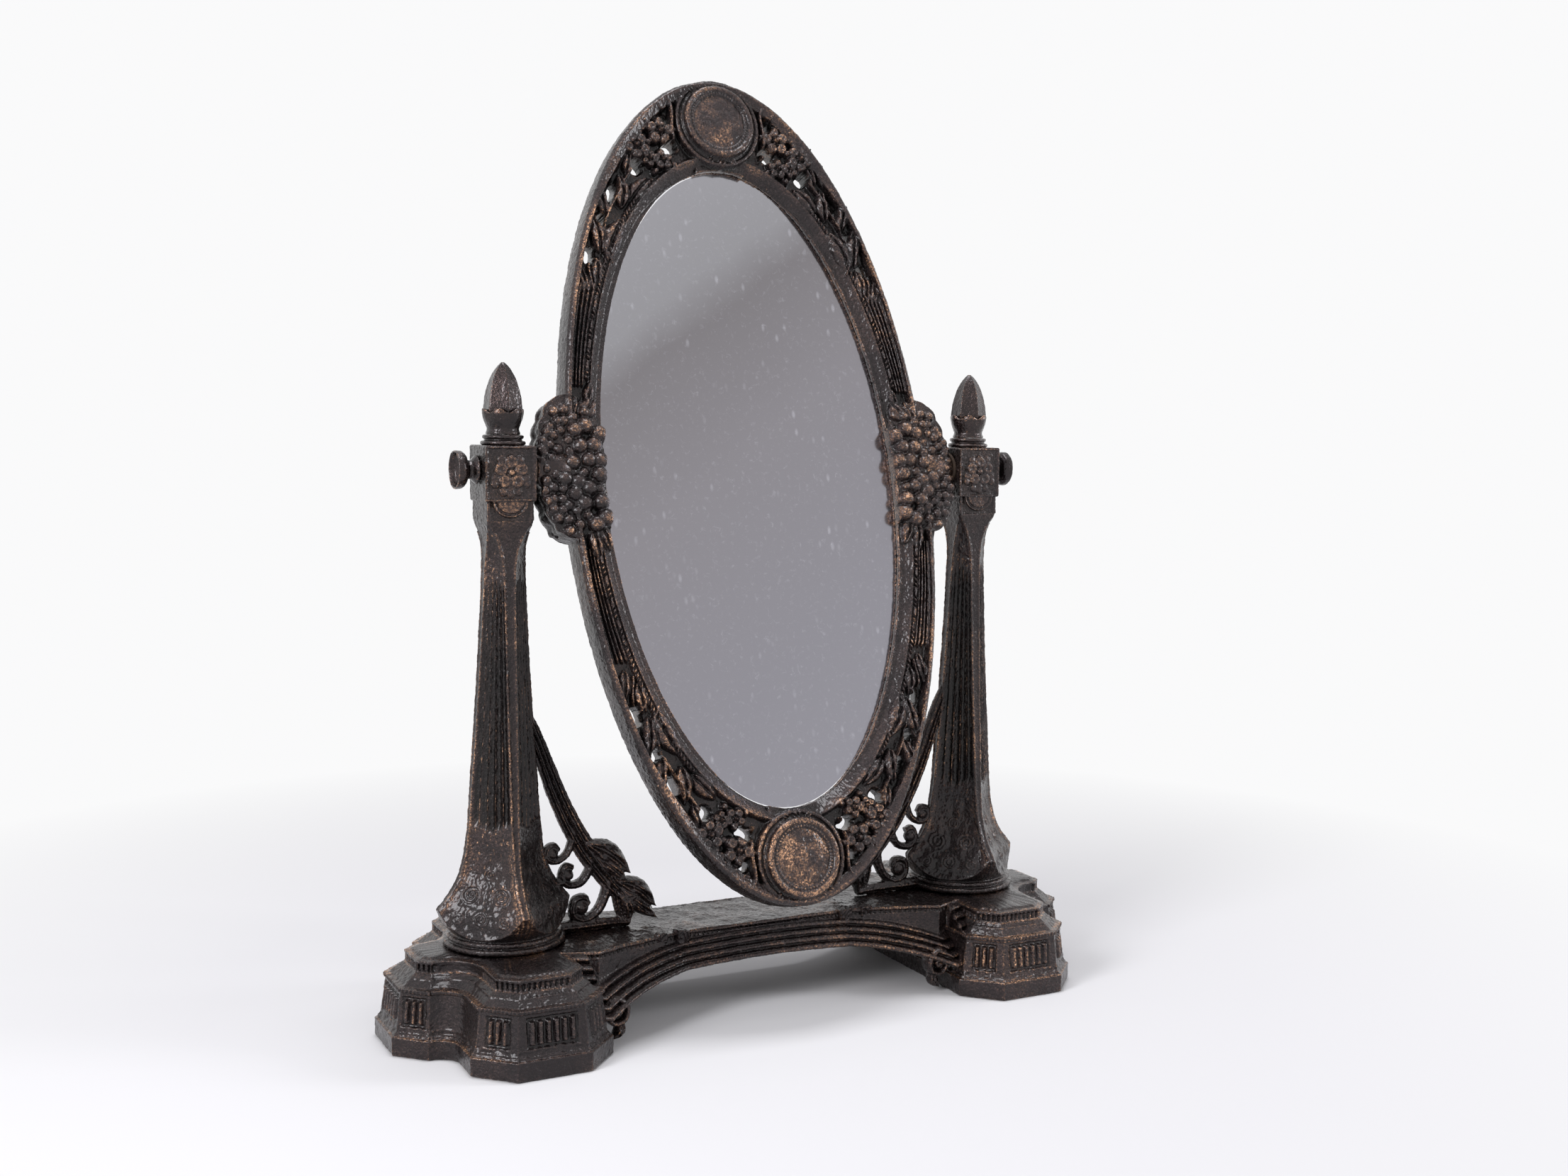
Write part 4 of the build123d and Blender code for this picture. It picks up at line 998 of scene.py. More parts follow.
class Relief:
    """A field of heights that ornaments are stamped on."""

    def __init__(self, u, v, height):
        self.u, self.v, self.height = u, v, height

    def near(self, u, v, radius):
        """Indices of the field around a place."""
        return np.nonzero((np.abs(self.u - u) < radius) & (np.abs(self.v - v) < radius))

    def lift(self, where, height, seam=0.45):
        """Raise the field to a height where that is larger."""
        self.height[where] = blend_up(self.height[where], height, seam)

    def berry(self, u, v, radius, base, rise):
        """Round ball, partly sunk in the ground."""
        where = self.near(u, v, radius)
        distance = np.hypot(self.u[where] - u, self.v[where] - v) / radius
        dome = np.sqrt(np.clip(1 - distance ** 2, 0, 1))
        self.lift(where, base - 2.0 + (rise + 2.0) * dome)

    def blossom(self, u, v, radius, base, rise, petals=5, turn=0.0):
        """Open flower: cupped petals round an eye."""
        where = self.near(u, v, radius * 1.3)
        across, up = self.u[where] - u, self.v[where] - v
        flower = np.zeros_like(across)
        for number in range(petals):
            angle = turn + 2 * math.pi * number / petals
            x, y = 0.58 * radius * math.cos(angle), 0.58 * radius * math.sin(angle)
            distance = np.hypot(across - x, up - y) / (0.46 * radius)
            petal = np.sqrt(np.clip(1 - distance ** 2, 0, 1))
            petal = petal - 0.28 * np.exp(-(distance / 0.4) ** 2)
            flower = np.maximum(flower, petal)
        eye = np.hypot(across, up) / (0.25 * radius)
        flower = np.maximum(flower, 1.12 * np.sqrt(np.clip(1 - eye ** 2, 0, 1)))
        self.lift(where, base - 1.2 + (rise + 1.2) * flower, 0.3)

    def leaf(self, start, tip, width, base, rise, bend=0.0):
        """Bulging leaf with a narrow groove for its rib."""
        start, tip = np.array(start, float), np.array(tip, float)
        axis = tip - start
        length = np.linalg.norm(axis)
        axis = axis / length
        middle = (start + tip) / 2
        where = self.near(middle[0], middle[1], 0.62 * length + width)
        du, dv = self.u[where] - start[0], self.v[where] - start[1]
        run = (du * axis[0] + dv * axis[1]) / length
        side = -du * axis[1] + dv * axis[0]
        inside = np.clip(run, 0, 1)
        side = side - bend * np.sin(math.pi * inside)
        half = width / 2 * np.sin(math.pi * inside ** 0.85) ** 0.8 + 0.05
        edge = np.abs(side) / half
        body = np.clip(1 - edge ** 2, 0, 1) ** 0.38
        body = body * (0.66 + 0.34 * np.sin(math.pi * inside))
        body = body - 0.34 * np.exp(-(side / (0.06 * width + 0.25)) ** 2) * (edge < 1)
        body = body + 0.04 * np.cos(inside * length - 1.6 * np.abs(side)) * (edge < 1)
        body = np.where((run < 0) | (run > 1), 0, body)
        self.lift(where, base - 1.4 + (rise + 1.4) * body, 0.3)

    def stroke(self, knots, base, rise):
        """Rounded line through knots of u, v, width."""
        line = smooth_line(knots, 12)
        centre, reach = line[:, :2].mean(axis=0), np.ptp(line[:, :2], axis=0).max() / 2 + 4
        where = self.near(centre[0], centre[1], reach)
        best = np.full(len(where[0]), -9.0)
        for a, b in zip(line, line[1:]):
            along = b[:2] - a[:2]
            du, dv = self.u[where] - a[0], self.v[where] - a[1]
            t = np.clip((du * along[0] + dv * along[1]) / (along @ along + 1e-9), 0, 1)
            distance = np.hypot(du - t * along[0], dv - t * along[1])
            half = (a[2] + t * (b[2] - a[2])) / 2
            best = np.maximum(best, 1 - (distance / half) ** 2)
        round_line = np.sqrt(np.clip(best, 0, 1))
        self.lift(where, np.where(best > 0, base - 1 + (rise + 1) * round_line, -9), 0.3)


print("stamps ready")

# %% [markdown]
# The plain parts of the band come first, worked out from the distance to its two edges:
# the sloping lip, the sunk ground, the rounded rim, four reeds above and below the pivots
# and a row of beads along the lip.

# %% Ground, lip, rim and reeds
quarter_u, quarter_v = np.abs(field_u), np.abs(field_v)
from_glass = oval_distance(field_u, field_v, OVAL_IN)
from_edge = -oval_distance(field_u, field_v, OVAL_OUT)
lip = 0.7 + 5.6 * np.clip(from_glass / 6.2, 0, 1) ** 0.8
lip = lip - 1.6 * smooth_step(from_glass, 6.3, 7.2)
ground = np.where(from_glass < 7.2, lip, 2.8 + 1.9 * (1 - smooth_step(from_glass, 7.2, 8.2)))
rim_width = 2.6 + 3.6 * smooth_step(quarter_v, 125, 170)
rim = 8.2 - 1.9 * (1 - np.clip(from_edge / 2.0, 0, 1)) ** 2
rim = rim - 0.5 * np.clip(from_edge - 2, 0, 9) * smooth_step(quarter_v, 125, 170)
rim = rim - 4.8 * smooth_step(from_edge, rim_width, rim_width + 1.5)
surface = blend_up(ground, rim, 0.5)
relief = Relief(quarter_u, quarter_v, surface)
pivot_y = np.abs(field_v - OVAL_DROP)
reed_zone = smooth_step(pivot_y, 36, 39) * (1 - smooth_step(pivot_y, 90, 99))
band_width = np.maximum(from_glass + from_edge, 1.0)
place = (from_glass - 9.2) / (band_width - 9.2 - 2.9)
reeds = 3.6 + 2.6 * np.abs(np.sin(math.pi * 4 * np.clip(place, 0, 1))) ** 0.75
reeds = np.where((place > 0) & (place < 1), reeds, -9)
surface[:] = np.where(reed_zone > 0.01, blend_up(surface, reeds * reed_zone
                                                 - 9 * (1 - reed_zone), 0.3), surface)
run_along = np.cumsum(np.hypot(np.diff(field_u[:, 14], prepend=field_u[:1, 14]),
                               np.diff(field_v[:, 14], prepend=field_v[:1, 14])))[:, None]
step = np.mod(run_along, 9.6)
reel = smooth_step(step, 0.2, 0.7) * (1 - smooth_step(step, 4.6, 5.1))
pearls = sum(np.clip(1 - ((step - middle) / 0.95) ** 2, 0, 1) for middle in (6.2, 8.4)) ** 0.5
dots = np.abs(np.cos(math.pi * run_along / 2.4)) ** 0.6
far_off = smooth_step(pivot_y, 78, 84)
row_shape = (1 - far_off) * np.maximum(reel, pearls) + far_off * dots
bead_zone = smooth_step(pivot_y, 40, 42) * (1 - smooth_step(pivot_y, 138, 150))
bead_line = np.sqrt(np.clip(1 - ((from_glass - 8.2) / 1.15) ** 2, 0, 1))
beads = 4.2 + 2.6 * bead_line * row_shape
surface[:] = blend_up(surface, np.where((bead_zone > 0.5) & (bead_line > 0), beads, -9), 0.2)
print("heights so far:", round(float(surface.min()), 2), "to", round(float(surface.max()), 2))

# %% [markdown]
# The pierced sprays fill the four quarters. From the reeds towards the roundels come
# leaves in pairs, then a bunch of five-petalled flowers, then a small scroll beside the
# roundel. The daylight holes lie between them.

# %% Leaves, flowers and scrolls
GROUND = 2.8
SPRAY_LEAVES = [
    ((78.0, 88), (80.4, 105), 6.6, 4.4, 0.4), ((72.0, 94), (70.0, 110), 7.4, 4.8, -0.5),
    ((68.6, 110), (71.6, 132), 8.4, 5.6, 0.7), ((65.4, 107), (54.2, 130), 11.0, 5.8, -2.0),
    ((63.8, 129), (69.4, 149), 8.0, 5.2, 0.6), ((55.6, 134), (55.0, 152), 8.4, 5.8, 0.8),
    ((50.6, 138), (38.8, 151.0), 8.6, 5.0, -0.8), ((60.6, 150), (52.2, 171), 7.4, 5.0, 0.6),
    ((76.8, 122), (73.6, 138), 4.8, 4.2, 0.4), ((51.6, 152), (49.0, 164), 6.0, 5.2, 0.3),
]
SPRAY_FLOWERS = [
    (31.6, 175.0, 8.0, 6.4, 0.4), (44.6, 166.6, 7.6, 6.0, 1.0), (31.4, 160.6, 5.8, 5.4, 0.2),
    (38.4, 160.4, 4.6, 5.4, 0.8), (39.6, 179.6, 5.4, 5.0, 1.2), (51.0, 172.0, 4.2, 4.4, 0.3),
]
SPRAY_BUDS = [(46.0, 176.2, 2.7), (24.2, 176.8, 2.4), (52.2, 164.6, 2.4), (35.6, 154.4, 2.4),
              (57.0, 163.8, 2.0), (43.8, 158.0, 2.4), (25.4, 158.5, 2.0), (33.4, 185.4, 2.2),
              (38.2, 169.4, 2.6), (37.0, 183.6, 1.9), (42.0, 173.6, 2.0), (27.4, 170.6, 1.9)]
for start, tip, width, rise, bend in SPRAY_LEAVES:
    relief.leaf(start, tip, width, GROUND, rise, bend)
for u, v, radius, rise, turn in SPRAY_FLOWERS:
    relief.blossom(u, v, radius, GROUND, rise, turn=turn)
for u, v, radius in SPRAY_BUDS:
    relief.berry(u, v, radius, GROUND, 4.2)
relief.stroke([(63.5, 106, 2.0), (66.8, 115, 2.2), (64.6, 127, 2.2), (58.4, 139, 2.2),
               (51.0, 151, 2.2), (44, 160, 2.0)], GROUND, 4.0)
relief.stroke([(74.5, 92, 1.8), (75.8, 103, 2.0), (73, 108, 2.0), (70.6, 106, 1.6)],
              GROUND, 4.0)
relief.stroke([(22.6, 163, 2.4), (24.4, 170, 2.8), (25.0, 178, 3.0), (24.4, 185, 3.0),
               (25.0, 190.4, 2.8), (28.4, 192.0, 2.6), (31.2, 189.6, 2.4),
               (30.2, 186.6, 2.1), (27.8, 187.6, 1.8)], GROUND, 5.0)
print("leaves:", len(SPRAY_LEAVES), "flowers:", len(SPRAY_FLOWERS), "in each quarter")

# %% [markdown]
# A roundel sits at the top and at the bottom: a domed disc with a beaten face, inside a
# rope, a thick ring and a thin one. Small leaves fan out behind it.

# %% Roundels
ROUNDEL_V = 181.5
round_distance = np.hypot(quarter_u, quarter_v - ROUNDEL_V)
round_angle = np.arctan2(quarter_v - ROUNDEL_V, quarter_u)


def ring_height(radius, width, top):
    """A rounded ring around the roundel's centre."""
    inside = np.clip(1 - ((round_distance - radius) / (width / 2)) ** 2, 0, 1)
    return np.where(inside > 0, top - width * 0.5 * (1 - np.sqrt(inside)) - 0.2, -9)


plateau = np.where(round_distance < 20.6, 7.0 - 1.4 * smooth_step(round_distance, 19.4, 20.6), -9)
surface[:] = blend_up(surface, plateau, 0.4)
surface[:] = blend_up(surface, ring_height(21.6, 2.6, 7.6), 0.2)
surface[:] = blend_up(surface, ring_height(17.0, 3.6, 10.8), 0.2)
rope = ring_height(14.5, 1.8, 10.3) - 0.5 * (1 - np.abs(np.cos(30 * round_angle)))
surface[:] = blend_up(surface, rope, 0.1)
disc = 7.9 + 2.2 * np.sqrt(np.clip(1 - (round_distance / 15.4) ** 2, 0, 1))
disc = disc + 0.22 * lumps(field_u, field_v, 2.6, 21) + 0.12 * lumps(field_u, field_v, 1.2, 22)
surface[:] = np.where(round_distance < 13.7, disc, surface)
ROUNDEL_LEAVES = [
    ((0.1, 199), (0.1, 203.4), 3.4), ((3.4, 199.4), (6.4, 203.0), 3.0),
    ((7.2, 198.4), (11.6, 201.8), 3.0), ((11.2, 196.6), (16.2, 199.6), 3.0),
    ((0.1, 163), (0.1, 157.8), 4.6), ((4.2, 163.2), (8.4, 160.0), 3.2),
]
for start, tip, width in ROUNDEL_LEAVES:
    relief.leaf(start, tip, width, 5.4, 3.2)
print("roundel top:", round(float(surface[round_distance < 22].max()), 2), "mm")

# %% [markdown]
# At each pivot the band swells into a bunch of berries and blossoms. These are not quite
# alike above and below, so they are listed one by one from the pivot.

# %% Berries at the pivots
side_u, side_y = np.abs(field_u), field_v - OVAL_DROP
mound = np.clip(1 - ((side_u - 94.0) / 20.0) ** 2 - (side_y / 35.0) ** 2, 0, 1)
swell = 3.4 + 4.4 * np.sqrt(mound) + 0.7 * lumps(side_u, side_y, 3.2, 41)
surface[:] = blend_up(surface, np.where(mound > 0, swell, -9), 0.5)
bunch = Relief(side_u, side_y, surface)
BUNCH_LEAVES = [
    ((86.6, 22), (80.0, 33.5), 9.4, 4.2), ((93, 22), (88.5, 34), 6.4, 3.4),
    ((83.4, 30), (80.4, 41), 5.4, 3.2), ((94.0, -27), (94.6, -43), 6.4, 3.8),
    ((87.2, -28), (84.6, -45), 7.4, 4.4), ((83.4, -26), (78.6, -40), 6.6, 4.0),
]
for start, tip, width, rise in BUNCH_LEAVES:
    bunch.leaf(start, tip, width, 4.4, rise)
PLUMP_BERRIES = [
    (86.1, 2.9), (94.3, 1.5), (98.4, -6.1), (92.3, -7.6), (81.5, -4.1), (87.2, -10.6),
    (94.3, -13.1), (83.0, 9.6), (86.3, 18.9), (91.4, 16.8), (79.9, 15.0), (82.1, -17.3),
    (85.3, -27.2), (80.4, -24.3), (89.9, -17.6), (89.6, 9.4), (80.6, 2.6),
]
SMALL_BERRIES = [
    (104.4, 9.7), (100.3, 7.7), (104.3, 3.5), (100.0, 2.2), (89.0, -3.2), (95.2, 11.9),
    (92.0, 22.6), (104.8, -15.7), (100.5, -15.8), (97.6, -18.6), (93.9, -21.2), (100.9, -20.6),
    (98.5, -25.0), (93.4, -27.5), (104.2, -10.2), (102.8, -4.1), (98.6, 16.6), (102.4, 14.4),
    (96.6, 21.4), (106.8, -1.4), (107.4, 5.8), (107.2, -7.0), (95.2, 6.6), (89.0, -23.2),
    (86.0, 25.4), (99.8, -10.8), (82.4, -10.9), (104.8, -20.2), (103.6, 18.2), (99.4, 21.2),
    (108.6, 2.2), (108.4, -11.6), (107.0, 11.4), (100.8, 25.4), (103.0, -24.4), (96.0, 26.6),
    (98.4, -30.4), (108.0, 7.6), (107.6, -16.6), (105.0, 15.6),
]
PLUMP_SIZE = (4.7, 6.6, 4.4)  # radius, base and rise
SMALL_SIZE = (3.3, 6.0, 3.6)
for berries, size in ((PLUMP_BERRIES, PLUMP_SIZE), (SMALL_BERRIES, SMALL_SIZE)):
    for u, y in berries:
        bunch.berry(u, y, *size)
print("berries at each pivot:", len(PLUMP_BERRIES) + len(SMALL_BERRIES))

# %% [markdown]
# The back of the casting is plain: a rim, a flat web and the rebate for the glass. Front
# and back share the same rows and columns, so a hole is cut by leaving the same quads out
# of both and joining the two edges with a wall.

# %% Holes, back and walls
HOLES = [(74.0, 110.2, 2.1, 4.9, 14), (66.4, 128.2, 2.4, 2.9, 20), (59.6, 142.6, 1.7, 4.9, 22),
         (45.6, 156.6, 3.6, 3.0, 50), (26.8, 167.6, 2.8, 4.4, 55), (28.4, 182.4, 2.3, 2.6, 0)]


def hole_distance(u, v):
    """Roughly how far outside the nearest hole a place lies."""
    nearest = np.full(u.shape, 99.0)
    for centre_u, centre_v, wide, tall, lean in HOLES:
        angle = math.radians(lean)
        du, dv = u - centre_u, v - centre_v
        x = du * math.cos(angle) + dv * math.sin(angle)
        y = -du * math.sin(angle) + dv * math.cos(angle)
        reach = (np.abs(x / wide) ** 2.6 + np.abs(y / tall) ** 2.6) ** (1 / 2.6)
        nearest = np.minimum(nearest, (reach - 1) * min(wide, tall))
    return nearest


def blurred(field, reach, passes=2):
    """The field averaged around every point; along the band it runs round."""
    size = 2 * reach + 1
    for _ in range(passes):
        for axis, mode in ((0, "wrap"), (1, "edge")):
            pad = [(reach + 1, reach) if k == axis else (0, 0) for k in (0, 1)]
            total = np.cumsum(np.pad(field, pad, mode=mode), axis=axis)
            count = total.shape[axis]
            high = np.take(total, range(size, count), axis=axis)
            low = np.take(total, range(0, count - size), axis=axis)
            field = (high - low) / size
    return field


gap = hole_distance(quarter_u, quarter_v)
index = np.arange(AROUND * ACROSS).reshape(AROUND, ACROSS)
wrapped = np.vstack([index, index[:1]])
quads = quads_of(wrapped)
open_quads = (gap.reshape(-1)[quads] < 0.12).all(axis=-1)
surface[:] = surface - 1.2 * (1 - smooth_step(gap, 0.0, 1.1))
carving = surface - blurred(surface, 9)
mottled = 0.95 + 0.75 * lumps(field_u, field_v, 4.2, 51) + 0.4 * lumps(field_u, field_v, 1.6, 52)
carving = np.where(round_distance < 13.4, mottled, carving)
carving = np.where(mound > 0.05, 0.75 * carving, carving)
back = np.where(from_glass < 4.0, 0.3, -4.8)
back = np.where(from_edge < 3.4, -7.0 + 0.8 * (1 - np.clip(from_edge / 1.2, 0, 1)) ** 2, back)
back = np.where(mound > 0.05, -5.6, back)
back = np.where((mound > 0.05) & (from_glass < 4.0), 0.3, back)
surface[:] = np.maximum(surface, back + 0.9)
front_points = np.stack([field_u, field_v - OVAL_DROP, surface], axis=-1)
back_points = np.stack([field_u, field_v - OVAL_DROP, back], axis=-1)
front_faces = quads[~open_quads]
back_faces = front_faces[:, ::-1] + AROUND * ACROSS
print("holes open:", int(open_quads.sum()), "quads left out")

# %% [markdown]
# The outer wall is as rough as the mould left it, with bigger lumps behind the berries.
# Edges of the holes are pulled onto their true outline before the walls are drawn, since
# a stepped edge would show against the light.

# %% Assemble the frame
def between(open_mask):
    """Edges along the border of the open quads, as pairs of point numbers."""
    edges = []
    before = np.roll(open_mask, 1, axis=0)
    rows, columns = np.nonzero(open_mask != before)
    for row, column in zip(rows, columns):
        pair = (index[row % AROUND, column], index[row % AROUND, column + 1])
        edges.append(pair if open_mask[row, column] else pair[::-1])
    rows, columns = np.nonzero(open_mask[:, 1:] != open_mask[:, :-1])
    for row, column in zip(rows, columns):
        pair = (index[row, column + 1], index[(row + 1) % AROUND, column + 1])
        edges.append(pair[::-1] if open_mask[row, column + 1] else pair)
    return np.array(edges)


hole_edges = between(open_quads)
rim_points = np.unique(hole_edges)
flat_u, flat_v = field_u.reshape(-1)[rim_points], field_v.reshape(-1)[rim_points]
for _ in range(3):
    gap_here = hole_distance(np.abs(flat_u), np.abs(flat_v))
    slope_u = (hole_distance(np.abs(flat_u + 0.02), np.abs(flat_v)) - gap_here) / 0.02
    slope_v = (hole_distance(np.abs(flat_u), np.abs(flat_v + 0.02)) - gap_here) / 0.02
    steep = np.maximum(slope_u ** 2 + slope_v ** 2, 0.05)
    flat_u = flat_u - gap_here * slope_u / steep
    flat_v = flat_v - gap_here * slope_v / steep
for layer in (front_points, back_points):
    flat = layer.reshape(-1, 3)
    flat[rim_points, 0] = flat_u
    flat[rim_points, 1] = flat_v - OVAL_DROP
WALL_ROWS = 22
depth = np.linspace(0, 1, WALL_ROWS + 2)[1:-1][None, :]
edge_front, edge_back = front_points[:, -1], back_points[:, -1]
out_u = np.cos(parameter) / OVAL_OUT[0]
out_v = np.sin(parameter) / OVAL_OUT[1]
length = np.hypot(out_u, out_v)
out_u, out_v = out_u / length, out_v / length
wall_z = edge_front[:, 2:] + depth * (edge_back[:, 2:] - edge_front[:, 2:])
beside = np.abs(edge_front[:, 1:2])
bulge = np.sin(math.pi * depth)
wall_run = run_along + 0 * wall_z
knobbly = 1.7 * np.abs(lumps(wall_run, wall_z, 3.6, 31)) - 1.5 * bulge
uneven = 0.5 * lumps(wall_run, wall_z, 11.0, 32) * smooth_step(-edge_front[:, 1:2], 50, 90)
push = bulge * (0.35 + np.where(beside < 32, knobbly, 0.5 * np.minimum(uneven, 0)))
wall_points = np.stack([edge_front[:, :1] + push * out_u, edge_front[:, 1:2] + push * out_v,
                        wall_z], axis=-1)
layer_size = AROUND * ACROSS
wall_first = 2 * layer_size
wall_index = wall_first + np.arange(AROUND * WALL_ROWS).reshape(AROUND, WALL_ROWS)
wall_index = np.hstack([index[:, -1:], wall_index, index[:, -1:] + layer_size])
wall_index = np.vstack([wall_index, wall_index[:1]])
wall_faces = quads_of(wall_index).reshape(-1, 4)
inner_index = np.hstack([index[:, :1] + layer_size, index[:, :1]])
inner_index = np.vstack([inner_index, inner_index[:1]])
inner_faces = quads_of(inner_index).reshape(-1, 4)
hole_faces = np.stack([hole_edges[:, 0], hole_edges[:, 1], hole_edges[:, 1] + layer_size,
                       hole_edges[:, 0] + layer_size], axis=-1)
frame_points = np.vstack([front_points.reshape(-1, 3), back_points.reshape(-1, 3),
                          wall_points.reshape(-1, 3)])
frame_faces = np.vstack([front_faces.reshape(-1, 4), back_faces.reshape(-1, 4), wall_faces,
                         inner_faces, hole_faces])
# A low carving darkens the colour: a little on the outer wall beside the pivots, strongly on the
# walls of the holes.
wall_carving = np.where(beside < 32, -1.0 + 0 * wall_z, 0 * wall_z)
back_carving = np.where(gap < 2.0, -3.0, 0.0)
frame_carving = np.concatenate([carving.ravel(), back_carving.ravel(), wall_carving.ravel()])


def drop_unused(points, faces, values):
    """Leave out points that no face uses."""
    used = np.unique(faces)
    renumber = np.full(len(points), -1)
    renumber[used] = np.arange(len(used))
    return points[used], renumber[faces], values[used]


frame_points, frame_faces, frame_carving = drop_unused(frame_points, frame_faces, frame_carving)
mirror_frame = make_piece("mirror_frame_casting", mirror_to_world(frame_points), frame_faces,
                          "mirror", ["mirror_frame"], frame_carving)

# %% [markdown]
# Each pivot ends in a round boss that faces the post. A leather washer and the end of the
# thumb screw sit between them.

# %% Pivot bosses
BOSS_PROFILE = [(96.3, 0.0), (96.3, 3.05), (111.3, 3.05), (111.3, 7.6), (110.7, 8.3),
                (108.6, 8.4), (103.0, 9.2), (96.0, 9.4), (94.0, 6.0), (94.0, 0.0)]
bosses = []
for side, hand in (("left", -1), ("right", 1)):
    boss = profile_lathe(BOSS_PROFILE, turned(72))
    across = np.stack([hand * boss[0][:, 2], boss[0][:, 0], PIVOT_Z + boss[0][:, 1]], axis=1)
    bosses.append(make_piece(f"{side}_pivot_boss", across, boss[1], "mirror"))

# %% [markdown]
# The glass is an old silvered plate: flat, a little dusty, with small bare specks in the
# silver. Its grey tone is a painted reflection, and the bright line at its edge, where it
# meets the dark lip, is a painted glint.

# %% Glass
def oval_plate(rings, count=480):
    """An oval plate from rings of half sizes and heights, in the mirror's plane."""
    turns_here = turned(count)
    points = []
    for half_u, half_v, height in rings:
        points.append(np.stack([half_u * np.cos(turns_here),
                                half_v * np.sin(turns_here) - OVAL_DROP,
                                np.full(count, height)], axis=-1))
    points = np.array(points)
    return points, grid_faces(*points.shape[:2])


GLASS_RINGS = [(0, 0, -0.02), (40, 90, -0.02), (70, 148, -0.02), (77.0, 157.0, -0.02),
               (77.35, 157.35, -0.02), (77.5, 157.5, -0.02), (80.9, 160.9, -0.02),
               (81.5, 161.5, -0.5), (81.5, 161.5, -3.0), (0, 0, -3.0)]
glass_points, glass_faces = oval_plate(GLASS_RINGS)
# The rings beside the lip carry a painted glint, a bright line painted into the glass colour; it is
# stored in the carving attribute.
painted_glint = np.zeros(glass_points.shape[:2])
painted_glint[5:9] = 1.0
glass = make_piece("mirror_glass_plate", mirror_to_world(glass_points), glass_faces, "mirror",
                   ["mirror_glass"], painted_glint)
for face in glass.data.polygons:
    face.use_smooth = False

# %% [markdown]
# ## The cast skin
#
# Sand leaves the metal grainy. Three scales of grain are pushed into the real surface: a
# coarse one that makes flat faces wavy, a middle one and a fine one that sparkles. The
# very finest grain stays in the material.

# %% Grain in the surface
SAND = {"coarse": 0.0075, "middle": 0.0026, "fine": 0.0011}


def cast_skin(piece, depths_mm):
    """Displace the surface by cloud patterns, one for each grain size of the sand."""
    for label, depth_mm in zip(SAND, depths_mm):
        pattern = bpy.data.textures.get(f"sand_{label}") or bpy.data.textures.new(
            f"sand_{label}", "CLOUDS")
        pattern.noise_scale = SAND[label]
        pattern.noise_depth = 1
        pattern.noise_basis = "ORIGINAL_PERLIN"
        skin = piece.modifiers.new(f"sand_{label}", "DISPLACE")
        skin.texture = pattern
        skin.texture_coords = "LOCAL"
        skin.strength = depth_mm * MM
        skin.mid_level = 0.58
    return piece


for piece in list(posts.values()) + list(brackets.values()) + base_pieces:
    cast_skin(piece, (0.5, 0.5, 0.42))
cast_skin(mirror_frame, (0.4, 0.45, 0.42))
for piece in small_castings + bosses:
    cast_skin(piece, (0.2, 0.2, 0.22))
print("skins:", len(posts) + len(brackets) + len(small_castings) + len(bosses) + 5)

# %% [markdown]
# ## Materials
#
# The patina is a dark brown lacquer over iron. Worn edges show copper, hollows are
# darkened, and the whole surface glitters. Wear is worked out from the shape: the pointiness
# of the mesh and the carving heights kept with it tell high places from low ones.

# %% Node groups shared by the materials
def new_group(name, inputs, outputs):
    """A node group with named inputs (name, kind, value) and outputs (name, kind)."""
    group = bpy.data.node_groups.new(name, "ShaderNodeTree")
    for label, kind, value in inputs:
        socket = group.interface.new_socket(label, in_out="INPUT", socket_type=kind)
        socket.default_value = value
    for label, kind in outputs:
        group.interface.new_socket(label, in_out="OUTPUT", socket_type=kind)
    given = group.nodes.new("NodeGroupInput").outputs
    made = group.nodes.new("NodeGroupOutput").inputs
    return group, given, made


def noise(tree, scale, detail=4.0, roughness=0.6, distortion=0.0):
    """Noise in the object's own space."""
    where = tree.nodes.new("ShaderNodeTexCoord")
    node = tree.nodes.new("ShaderNodeTexNoise")
    node.inputs["Scale"].default_value = scale
    node.inputs["Detail"].default_value = detail
    node.inputs["Roughness"].default_value = roughness
    node.inputs["Distortion"].default_value = distortion
    tree.links.new(where.outputs["Object"], node.inputs["Vector"])
    return node.outputs["Fac"]


def span(tree, value, low, high, new_low=0.0, new_high=1.0):
    """Map one range of values to another, clamped; the new ends may be sockets."""
    node = tree.nodes.new("ShaderNodeMapRange")
    for label, end in (("From Min", low), ("From Max", high), ("To Min", new_low),
                       ("To Max", new_high)):
        if isinstance(end, (int, float)):
            node.inputs[label].default_value = end
        else:
            tree.links.new(end, node.inputs[label])
    tree.links.new(value, node.inputs["Value"])
    return node.outputs["Result"]


def sums(tree, kind, first, second):
    """One arithmetic node; the second value may be a number."""
    node = tree.nodes.new("ShaderNodeMath")
    node.operation = kind
    tree.links.new(first, node.inputs[0])
    if isinstance(second, (int, float)):
        node.inputs[1].default_value = second
    else:
        tree.links.new(second, node.inputs[1])
    return node.outputs[0]


def ramp(tree, value, stops):
    """Colour ramp through (place, colour) stops."""
    node = tree.nodes.new("ShaderNodeValToRGB")
    elements = node.color_ramp.elements
    while len(elements) < len(stops):
        elements.new(0.5)
    for element, (place_here, colour) in zip(elements, stops):
        element.position = place_here
        element.color = (*colour, 1)
    tree.links.new(value, node.inputs["Fac"])
    return node.outputs["Color"]


def blend_colours(tree, share_here, first, second):
    """Mix two colours; either may be a socket or a plain colour."""
    node = tree.nodes.new("ShaderNodeMix")
    node.data_type = "RGBA"
    tree.links.new(share_here, node.inputs["Factor"])
    for label, colour in (("A", first), ("B", second)):
        socket = next(s for s in node.inputs if s.name == label and s.type == "RGBA")
        if isinstance(colour, tuple):
            socket.default_value = (*colour, 1)
        else:
            tree.links.new(colour, socket)
    return next(s for s in node.outputs if s.type == "RGBA")


print("node helpers ready")

